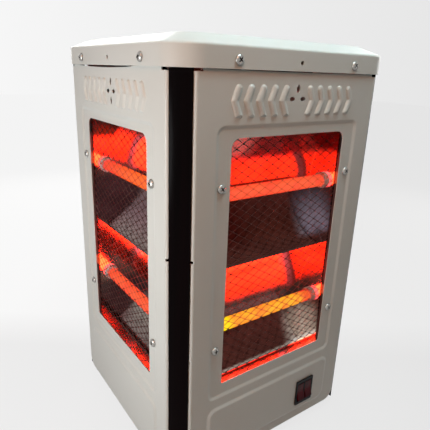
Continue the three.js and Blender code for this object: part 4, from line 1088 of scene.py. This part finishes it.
STEP_X, STEP_Z = CELL_WIDE / 2, CELL_TALL / 2
NET_MIDDLE = GUARD_FRONT + GUARD_THICK / 2
RIM_IN_WIDE, RIM_IN_TALL = 1.2, 1.5  # the opening is narrower and taller than the window
RIM_OUT_WIDE, RIM_OUT_TALL = 13, 8
OVERLAP = 1.0  # the wires end inside the rim
DRIFT = 0.05  # how far a wire may stand off its place, as a share of a cell
KNOT_LEAST, KNOT_MOST = 0.72, 0.95
SHORTEST_WIRE = 4
NET_WELD = 0.00001  # so small that no two wires join


def rim(shell, wide, tall, half_tall):
    """Flat frame with a small bevel round its opening."""
    front, back, bevel = GUARD_FRONT, GUARD_FRONT + GUARD_THICK, 0.3
    outer_tall = half_tall + RIM_OUT_TALL
    opening, opened = (rounded(wide, -tall, tall, 1, grow, 3) for grow in (0, bevel))
    edge = rounded(WINDOW + RIM_OUT_WIDE, -outer_tall, outer_tall, 6, 0, 3)
    rows = [
        at(opening, front + bevel), at(opened, front), at(edge, front),
        at(edge, back), at(opened, back), at(opening, back - bevel),
    ]
    shell.ring([*rows, rows[0]])


def wire_ends(place_on, family, wide, tall):
    """Where the wire x / STEP_X - family * z / STEP_Z = place_on meets the edges, from left to right."""
    ends = [(x, family * (x / STEP_X - place_on) * STEP_Z) for x in (-wide, wide)]
    ends = [(x, z) for x, z in ends if abs(z) <= tall]
    more = [((place_on + family * z / STEP_Z) * STEP_X, z) for z in (-tall, tall)]
    return sorted(ends + [(x, z) for x, z in more if abs(x) < wide])


def net_shell(half_tall, seed):
    shell = Shell()
    chance = random.Random(seed)
    wide, tall = WINDOW - RIM_IN_WIDE, half_tall + RIM_IN_TALL
    rim(shell, wide, tall, half_tall)
    reach_wide, reach_tall = wide + OVERLAP, tall + OVERLAP
    most = int(reach_wide / STEP_X + reach_tall / STEP_Z) + 2
    for family in (1, -1):
        layer = NET_MIDDLE + family * (GUARD_THICK / 2 - WIRE)
        for index in [number for number in range(-most, most + 1) if number % 2 == 0]:
            ends = wire_ends(index + chance.uniform(-DRIFT, DRIFT), family, reach_wide, reach_tall)
            if len(ends) > 1 and math.dist(ends[0], ends[-1]) >= SHORTEST_WIRE:
                wire_between(shell, *(Vector((x, layer, z)) for x, z in (ends[0], ends[-1])))
    columns, lines = int(wide / STEP_X), int(tall / STEP_Z)
    for i in range(-columns, columns + 1):
        for j in range(-lines, lines + 1):
            if (i + j) % 2 == 0:
                size = chance.uniform(KNOT_LEAST, KNOT_MOST)
                knot(shell, i * STEP_X, NET_MIDDLE, j * STEP_Z, size, GUARD_THICK / 2)
    return shell


def side_net():
    return net_shell(HALF_TALL, seed=3)


def top_net():
    return net_shell(WINDOW, seed=5)


for kind in SIDES:
    look = NET_LEFT if kind == "left" else NET
    made = put(f"net_{kind}", side_net, look, FACE[kind] @ MIDDLE, weld=NET_WELD)
    seat(made, "guard_wire", f"guard_{kind}")
seat(put("net_top", top_net, NET_TOP, TOP_FACE, weld=NET_WELD), "guard_wire", "guard_top")


# Reflectors: two troughs pressed in one bright sheet
MOUTH_MORE, PLATE_MORE = 2.5, 7.0  # the mouth goes beyond the lips, and the flat plate beyond the mouth
BORE = 8.3  # radius of the holes for the tube ends
# A curve gives the sheet's lean in degrees at shares of the way from a trough's middle to its lip
CURVE = (
    [0, 0.178, 0.267, 0.36, 0.454, 0.534, 0.712, 0.89, 1.07, 1.13],
    [0, 7, 11, 14.5, 18.5, 20.5, 26.5, 31.5, 34, 35],
)
LEFT_CURVE = (
    [0, 0.18, 0.27, 0.36, 0.45, 0.53, 0.64, 0.71, 0.82, 1.15],
    [0, 7, 12, 16.5, 21, 24, 26.5, 27, 27.5, 28],
)


def trough_middle(half_tall):
    """How far each trough's middle is from the window's middle."""
    return (half_tall + TROUGH_BEYOND + LAND_HALF) / 2


def trough_line(half_tall, land_depth, curve, steps=30):
    """Each trough is nearly straight at its lips and rounded at the back."""
    outward = (half_tall + TROUGH_BEYOND - LAND_HALF) / 2
    spread = trough_middle(half_tall)
    mouth = half_tall + TROUGH_BEYOND + MOUTH_MORE

    def side(reach):
        away = np.linspace(0, reach, steps + 1)
        slope = np.tan(np.radians(np.interp(away / outward, *curve)))
        rise = np.concatenate([[0], np.cumsum((slope[1:] + slope[:-1]) / 2 * reach / steps)])
        return [(float(r), float(u)) for r, u in zip(rise, away)]

    long, short = side(spread - RIDGE), side(outward)
    deep = land_depth + long[-1][0]
    line = [(RIM_DEPTH, mouth)]
    for middle, upper, lower in ((spread, short, long), (-spread, long, short)):
        line += [(deep - r, middle + u) for r, u in upper[::-1]]
        line += [(deep - r, middle - u) for r, u in lower[1:]]
    line.append((RIM_DEPTH, -mouth))
    return line, mouth


def offset_line(line, thick):
    """The line moved by one thickness away from the opening, with mitred corners."""
    normals = []
    for (xa, za), (xb, zb) in zip(line, line[1:]):
        long = math.hypot(xb - xa, zb - za)
        normals.append(((za - zb) / long, (xb - xa) / long))
    out = []
    for point, first, last in zip(line, [normals[0], *normals], [*normals, normals[-1]]):
        scale = thick / (1 + first[0] * last[0] + first[1] * last[1])
        out.append((point[0] + scale * (first[0] + last[0]), point[1] + scale * (first[1] + last[1])))
    return out


def prism(outline, half):
    """A solid from a (depth, up) outline, as wide to the left as to the right."""
    return Shell().solid([[(x, depth, up) for depth, up in outline] for x in (-half, half)])


def reflector(name, half_tall, land_depth, look, curve):
    line, mouth = trough_line(half_tall, land_depth, curve)
    high, outer = mouth + PLATE_MORE, END_WALL + REFLECTOR_SHEET
    front, behind = RIM_DEPTH, RIM_DEPTH + REFLECTOR_SHEET
    plate = build(name, prism([(front, -high), (front, high), (behind, high), (behind, -high)], FIELD), look)
    cut(plate, [build("trough_tool", prism(offset_line(line, REFLECTOR_SHEET), outer), look)], "UNION")
    hollow = [(front - 1, mouth), *line, (front - 1, -mouth)]
    tools = [build("hollow_tool", prism(hollow, END_WALL), look)]
    spread = trough_middle(half_tall)
    for up in (spread, -spread):
        bore = lathe([(BORE, -outer - 1), (BORE, outer + 1)])
        bore.points = [(x, y + TUBE_DEPTH, z + up) for x, y, z in bore.points]
        tools.append(build("bore_tool", bore, look))
    cut(plate, tools)
    return mesh_only(plate)


side_trough = reflector("trough_front", HALF_TALL, SIDE_LAND, MIRROR, CURVE)
left_trough = reflector("trough_left", HALF_TALL, SIDE_LAND, MIRROR_LEFT, LEFT_CURVE)
top_trough = reflector("trough_top", WINDOW, TOP_LAND, MIRROR, LEFT_CURVE)
for kind in SIDES:
    mesh = left_trough if kind == "left" else side_trough
    seat(put_mesh(f"trough_{kind}", mesh, FACE[kind] @ MIDDLE), "reflector", f"reflector_{kind}")
seat(put_mesh("trough_top", top_trough, TOP_FACE), "reflector", "reflector_top")


# Tubes: milky quartz, the coil inside and the two ceramic ends
def quartz_shell():
    return lathe([(TUBE, along) for along in (-GLOW - 1.5, -20.0, 20.0, GLOW + 1.5)])


def helix_shell():
    radius, wire, pitch, turn_steps = 4.4, 0.55, 2.3, 14
    turns = (2 * GLOW + 4) / pitch
    loops = []
    for i in range(int(turns * turn_steps) + 1):
        angle = 2 * math.pi * i / turn_steps
        c, s = math.cos(angle), math.sin(angle)
        out = Vector((0, c, s))
        along = Vector((pitch / (2 * math.pi), -radius * s, radius * c)).normalized()
        centre = Vector((-GLOW - 2 + pitch * i / turn_steps, 0, 0)) + out * radius
        loops.append(round_loop(centre, out, along.cross(out), wire, 6))
    return Shell().solid(loops)


def ends_shell():
    """Both ceramic ends, with their collars and contact pins."""
    profile = soften(
        [(0, 59.4), (8.0, 59.4), (8.0, 73.1), (9.6, 73.1), (9.6, 75.5), (4.6, 75.5), (4.6, 77.0), (2.2, 77.2),
         (2.2, 78.5), (0, 78.5)],
        [0, 0.9, 0, 0.5, 0.5, 0.3, 0.4, 0.2, 0.4, 0], 3,
    )
    shell = Shell()
    for side in (-1, 1):
        part = lathe([(radius, side * along) for radius, along in profile], 36)
        start = len(shell.points)
        shell.points += part.points
        shell.faces += [tuple(start + i for i in face) for face in part.faces]
    return shell


TUBE_LOOKS = {"front_lower": (QUARTZ_HOT, COIL_HOT), "left_upper": (QUARTZ_MIXED, COIL)}


def tube(name, face, rise):
    where = face @ shift(0, TUBE_DEPTH, rise)
    quartz, coil = TUBE_LOOKS.get(name, (QUARTZ, COIL))
    seat(put(f"quartz_{name}", quartz_shell, quartz, where), "quartz_tube", f"tube_{name}")
    seat(put(f"coil_{name}", helix_shell, coil, where), "quartz_tube")
    seat(put(f"ends_{name}", ends_shell, TUBE_CERAMIC, where), "terminal_ceramic")


for kind in SIDES:
    for level, side in (("upper", 1), ("lower", -1)):
        tube(f"{kind}_{level}", FACE[kind] @ MIDDLE, side * trough_middle(HALF_TALL))
for level, side in (("rear", 1), ("front", -1)):
    tube(f"top_{level}", TOP_FACE, side * trough_middle(WINDOW))


# Pan head screws with a cross recess
HEAD_IN, LAND_IN = 3, 2.6  # the recess reaches this far from the axis in its upper and its lower part
RECESS_STEP, RECESS_END, UNDER_DOME = -1.9, -0.35, 0.06
DOME = [(0.0, -2.5), (1.3, -2.46), (2.5, -2.25), (3.4, -1.75), (3.85, -1.1), (4.0, -0.55), (3.9, -0.3)]


def dome_depth(out):
    """Depth of the screw's dome at a distance from its axis."""
    for (near, high), (far, low) in zip(DOME, DOME[1:]):
        if near <= out <= far:
            return high + (low - high) * (out - near) / (far - near)
    return 0


def blade(turned):
    """One wing of the cross that cuts the recess."""
    rows = []
    for depth, wide, thick in ((-3.2, 2.5, 0.62), (-1.6, 1.9, 0.45), (-0.7, 0.5, 0.3)):
        corners = [(-wide, -thick), (wide, -thick), (wide, thick), (-wide, thick)]
        rows.append([(-b, depth, a) if turned else (a, depth, b) for a, b in corners])
    return build("blade_tool", Shell().solid(rows), STEEL)


def screw_mesh():
    piece = build("cap_screw_head", lathe([*DOME, (1.7, -0.3), (1.7, 6.3), (0, 8)], 40, "Y"), STEEL)
    cut(piece, [blade(False), blade(True)])
    # The faces inside the cross recess take the dark material: painted shade
    piece.data.materials.append(RECESS_SHADE)
    for face in piece.data.polygons:
        deep = face.center.y
        out = math.hypot(face.center.x, face.center.z) / MM
        upper = out < HEAD_IN and (dome_depth(out) + UNDER_DOME) * MM < deep < RECESS_STEP * MM
        lower = out < LAND_IN and RECESS_STEP * MM < deep < RECESS_END * MM
        if upper or lower:
            face.material_index = 1
    return mesh_only(piece)


SCREW = screw_mesh()
chance = random.Random(11)


def put_screw(stem, hand, kind, x, y, z, in_cad=True):
    spin = Matrix.Rotation(chance.uniform(0, math.pi / 2), 4, "Y")
    name = f"{stem}_{hand}"
    piece = put_mesh(f"{name}_head", SCREW, FACE[kind] @ shift(x, y, z) @ spin)
    seat(piece, "screw", *([name] if in_cad else []))


for kind in SIDES:
    for hand, side in (("l", -1), ("r", 1)):
        put_screw(f"cap_screw_{kind}", hand, kind, side * CAP_SCREW_SIDE, CAP_FACE, CAP_SCREW_UP)
        for level, up in (("upper", SCREW_UP), ("lower", -SCREW_UP)):
            stem, in_cad = f"panel_screw_{kind}_{level}", kind in ("front", "left")
            put_screw(stem, hand, kind, side * SCREW_SIDE, SINK, WIN_MID + up, in_cad)


# CAD pieces taken over with softened edges
def dressed(node_name, name, look, slot, width, segments=2):
    work = bmesh.new()
    work.from_mesh(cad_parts[node_name].data)
    bmesh.ops.remove_doubles(work, verts=work.verts, dist=1e-6)
    bmesh.ops.dissolve_limit(work, angle_limit=math.radians(1.0), verts=work.verts, edges=work.edges)
    least = math.radians(30.0)
    sharp = [edge for edge in work.edges if len(edge.link_faces) == 2 and edge.calc_face_angle(0) > least]
    how = {"offset": width * MM, "segments": segments, "affect": "EDGES", "clamp_overlap": True}
    bmesh.ops.bevel(work, geom=sharp, **how)
    seat(put_mesh(name, finish_mesh(name, work, look)), slot, node_name)


dressed("base_pan", "pan_skin", PAN, "base_pan", 0.25)
dressed("terminal_block", "block_skin", CERAMIC, "terminal_ceramic", 0.5)
dressed("tilt_switch", "tilt_skin", BLACK, "switch_black", 0.5)
dressed("switch_body", "switch_skin", BLACK, "switch_black", 0.35, 3)


# Rockers: hollow-faced, pressed at the top
SWITCH_HALF, BEZEL, BAR_HALF = 12.75, 2.2, 0.7  # half the switch, its bezel's and half its bar's width
POCKET_HALF = (SWITCH_HALF - BEZEL - BAR_HALF) / 2
ROCKER_TILT, ROCKER_AXIS = math.radians(9), -115.0


def rocker_shell():
    half, deep, hollow, wide = 10.2, 6.0, 2.2, POCKET_HALF - 0.25
    arm = deep / math.cos(ROCKER_TILT)
    end = arm + half * math.tan(ROCKER_TILT)
    face = []
    for i in range(1, 16):
        up = half * (1 - i / 8)
        blend = math.sqrt(up * up + hollow * hollow) - hollow * (1 - abs(up) / half) * 0.4
        face.append((-(arm + min(blend, abs(up) + 0.8) * math.tan(ROCKER_TILT)), up))
    face = [(-end, half), *face, (-end, -half)]
    skirt = [(0.94, 0.9), (0.6, 0.1), (0.22, -0.25)]
    back = [(-out * deep, -share * half) for share, out in skirt]
    back += [(-out * deep, share * half) for share, out in skirt[::-1]]
    outline = soften(face + back, [0.6] + [0] * 15 + [0.6] + [0.4] * 6, 3, closed=True)
    middle = Vector([sum(point[k] for point in outline) / len(outline) for k in (0, 1)])
    rims = [(wide, 0.35), (wide - 0.12, 0.1), (wide - 0.35, 0)]
    loops = []
    for x, shrink in [(-x, shrink) for x, shrink in rims] + rims[::-1]:
        loop = []
        for point in map(Vector, outline):
            out = point - middle
            moved = middle + out * (1 - shrink / max(out.length, 1))
            loop.append((x, *moved))
        loops.append(loop)
    return Shell().solid(loops)


for hand, side in (("left", -1), ("right", 1)):
    where = shift(SWITCH_X + side * (BAR_HALF + POCKET_HALF), ROCKER_AXIS, SWITCH_LEVEL)
    made = build(f"rocker_{hand}_lens", rocker_shell(), LENS, where @ Matrix.Rotation(-ROCKER_TILT, 4, "X"))
    seat(made, "rocker_lens", f"rocker_{hand}", body=f"rocker_{hand}")


# Feet, plunger and gland
FOOT_PLACE = 88.0


def foot_shell():
    profile = [
        (0, 0.5), (7.0, 0.5), (7.4, 0.0), (10.0, 0.0), (11.0, 1.0), (10.4, 4.6), (9.3, 5.0), (9.0, 9.0),
        (3.0, 9.0), (3.0, 10.6), (4.2, 10.6), (3.0, 13.6), (0, 13.6),
    ]
    return lathe(soften(profile, [0, 0.2, 0.2, 0.5, 0.5, 0.5, 0.4, 0.3, 0.2, 0.1, 0.2, 0.6, 0], 3), 48, "Z")


for end, y in (("front", -FOOT_PLACE), ("rear", FOOT_PLACE)):
    for hand, x in (("left", -FOOT_PLACE), ("right", FOOT_PLACE)):
        name = f"foot_{end}_{hand}"
        seat(put(f"{name}_rubber", foot_shell, RUBBER, shift(x, y, 0)), "foot", name)

low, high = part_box("tilt_plunger")
pin = soften([(0, 0), (3.0, 0), (3.0, 26.0), (0, 26.0)], [0, 1.6, 0.4, 0], 5)
where = Matrix.Translation(((low[0] + high[0]) / 2, (low[1] + high[1]) / 2, low[2]))
plunger = build("plunger_pin", lathe(pin, 32, "Z"), LENS, where)
seat(plunger, "rocker_lens", "tilt_plunger", body="tilt_plunger")

# The gland: a nose and a flange outside the panel, and a round nut inside it
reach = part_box("cable_gland")[1][1] / MM - CASING  # how far the nose stands out
nose = soften(
    [
        (3.9, -reach), (5.6, -reach), (7.2, -4.9), (8.0, -4.3), (11.0, -4.2), (11.0, -1.8), (8.0, -1.8),
        (8.0, -0.2),
    ],
    [0.3, 0.5, 0.3, 0.2, 0.5, 0.2, 0, 0], 3,
)
nut = [(10.4, -0.2), (10.4, 4.8), (6.0, 4.8), (6.0, 8.8), (3.9, 8.8), (3.9, -reach)]
where = shift(SWITCH_X, CASING, SWITCH_LEVEL) @ quarter(2, "Z")
seat(build("gland_body", lathe(nose + nut, 48, "Y"), BLACK, where), "switch_black", "cable_gland")


# Leads inside the base: straight at both ends, with a curve between them
def lead(name, start, end, radius, look, slot):
    """A round lead between two (depth, up) places, which it leaves and meets at a right angle."""
    straight, share, steps = 8.0, 0.33, 32
    a, d = Vector((SWITCH_X, *start)), Vector((SWITCH_X, *end))
    out = Vector((0, -1, 0))
    leave, arrive = a + out * straight, d - out * straight
    reach = share * abs(d.y - a.y)
    b, c = leave + out * reach, arrive - out * reach
    shares = [(i / steps, 1 - i / steps) for i in range(steps + 1)]
    curve = [s ** 3 * leave + 3 * t * s ** 2 * b + 3 * t * t * s * c + t ** 3 * arrive for t, s in shares]
    centres = [a, *curve, d]
    side = Vector((1, 0, 0))
    loops = []
    for centre, before, after in zip(centres, [a, *centres], [*centres[1:], d]):
        up = (after - before).normalized().cross(side).normalized()
        loops.append(round_loop(centre, side, up, radius, 20))
    seat(build(f"{name}_skin", Shell().solid(loops), look), slot, name)


BLOCK_UP = 17.6  # level of the terminal block's clamps
lead("supply_lead", (108.9, SWITCH_LEVEL), (71.3, BLOCK_UP), 3.2, BLACK, "switch_black")
lead("switch_lead", (52.7, BLOCK_UP), (-91.5, SWITCH_LEVEL), 2.4, SLEEVE, "lead_sleeve")


# Floor and backdrop, in metres from here on
VIEW_AHEAD = (0.5829, 0.8125, 0.0)
VIEW_RIGHT = (0.8125, -0.5829, 0.0)


def along(tree, where, direction, low, high):
    """0 to 1 from low to high in a direction."""
    dot = node(tree, "ShaderNodeVectorMath", {0: where, 1: direction}, operation="DOT_PRODUCT")
    return share_of(tree, dot.outputs["Value"], low, high)


def backdrop_mask(tree):
    """Rays that see the plain white backdrop: camera, glossy and transmission."""
    path = node(tree, "ShaderNodeLightPath").outputs
    some = maths(tree, "MAXIMUM", path["Is Camera Ray"], path["Is Glossy Ray"])
    return maths(tree, "MAXIMUM", some, path["Is Transmission Ray"])


def make_floor():
    made, tree = bare("floor")
    where = node(tree, "ShaderNodeTexCoord").outputs["Object"]
    across = along(tree, where, VIEW_RIGHT, -0.32, 0.32)
    beyond = ramp(tree, across, [(0.0, grey(0.99)), (1.0, grey(0.86))])
    close = ramp(tree, across, [(0.0, grey(0.875)), (0.6, grey(0.84)), (1.0, grey(0.80))])
    step = ramp(tree, along(tree, where, VIEW_AHEAD, -0.1, 0.3), [(0.40, grey(0.0)), (0.62, grey(1.0))])
    shown = emission(tree, mix(tree, step, close, beyond))
    lit = node(tree, "ShaderNodeBsdfDiffuse", {"Color": (0.42, 0.41, 0.40, 1)}).outputs[0]
    pale = node(tree, "ShaderNodeBsdfDiffuse", {"Color": (*grey(0.85), 1)}).outputs[0]
    show(tree, mix_shader(tree, backdrop_mask(tree), lit, mix_shader(tree, 0.09, shown, pale)))
    return made


FLOOR_HALF = 6
floor_mesh = bpy.data.meshes.new("floor")
corners = [(x * FLOOR_HALF, y * FLOOR_HALF, 0) for x, y in ((-1, -1), (1, -1), (1, 1), (-1, 1))]
floor_mesh.from_pydata(corners, [], [(0, 1, 2, 3)])
floor_mesh.materials.append(make_floor())
stand("floor", floor_mesh)

world = bpy.data.worlds.new("studio")
bpy.context.scene.world = world
world.use_nodes = True
tree = world.node_tree
tree.nodes.clear()
direction = node(tree, "ShaderNodeTexCoord").outputs["Generated"]
greys = [(0.0, grey(0.935)), (0.5, grey(0.855)), (1.0, grey(0.785))]
tone = ramp(tree, along(tree, direction, VIEW_RIGHT, -0.5, 0.5), greys)
backdrop = node(tree, "ShaderNodeBackground", {"Color": tone, "Strength": 1.0}).outputs[0]
ambient = node(tree, "ShaderNodeBackground", {"Color": (1.0, 0.78, 0.62, 1), "Strength": 0.02}).outputs[0]
node(tree, "ShaderNodeOutputWorld", {"Surface": mix_shader(tree, backdrop_mask(tree), ambient, backdrop)})

# Lamps: name, place, aim, width, power and colour
LAMPS = [
    ("key", (-0.47, -0.10, 0.26), (-0.1, -0.06, 0.22), 0.2, 1.08, (0.94, 0.98, 1.0)),
    ("warm", (-0.45, -0.50, 0.80), (-0.1, -0.08, 0.30), 0.3, 1.8, (1.0, 0.51, 0.31)),
    ("overhead", (0.01, -0.20, 0.80), (0.0, -0.08, 0.35), 0.3, 2.2, (0.68, 0.93, 1.0)),
    ("rear", (0.15, 1.10, 0.60), (0, 0.1, 0.22), 0.8, 5.0, (1.0, 0.97, 0.93)),
    ("side", (1.10, 0.15, 0.60), (0.1, 0, 0.22), 0.8, 4.0, (1.0, 0.97, 0.93)),
]
for name, spot, aim, size, power, colour in LAMPS:
    light = bpy.data.lights.new(name, "AREA")
    light.shape = "DISK"
    light.size = size
    light.energy = power
    light.color = colour
    lamp = stand(name, light)
    lamp.location = spot
    lamp.rotation_mode = "QUATERNION"
    lamp.rotation_quaternion = (Vector(aim) - Vector(spot)).to_track_quat("-Z", "Y")

# Camera, solved on the photograph
PHOTO, FOCAL, SENSOR = 430, 439.417, 36.0
EYE = (-0.27774, -0.39113, 0.38237)
RIGHT = Vector((0.81844, -0.57361, 0.03353))
DOWN = Vector((-0.15283, -0.27357, -0.94963))
AHEAD = Vector((0.55390, 0.77209, -0.31156))
view = bpy.data.cameras.new("camera")
view.sensor_width = SENSOR
view.lens = FOCAL / PHOTO * SENSOR
view.clip_start = 0.01
view.clip_end = 50.0
camera = stand("camera", view)
camera.matrix_world = Matrix.Translation(EYE) @ Matrix((RIGHT, -DOWN, -AHEAD)).transposed().to_4x4()
bpy.context.scene.camera = camera
bpy.context.scene.view_settings.view_transform = "Standard"

bpy.context.view_layer.update()
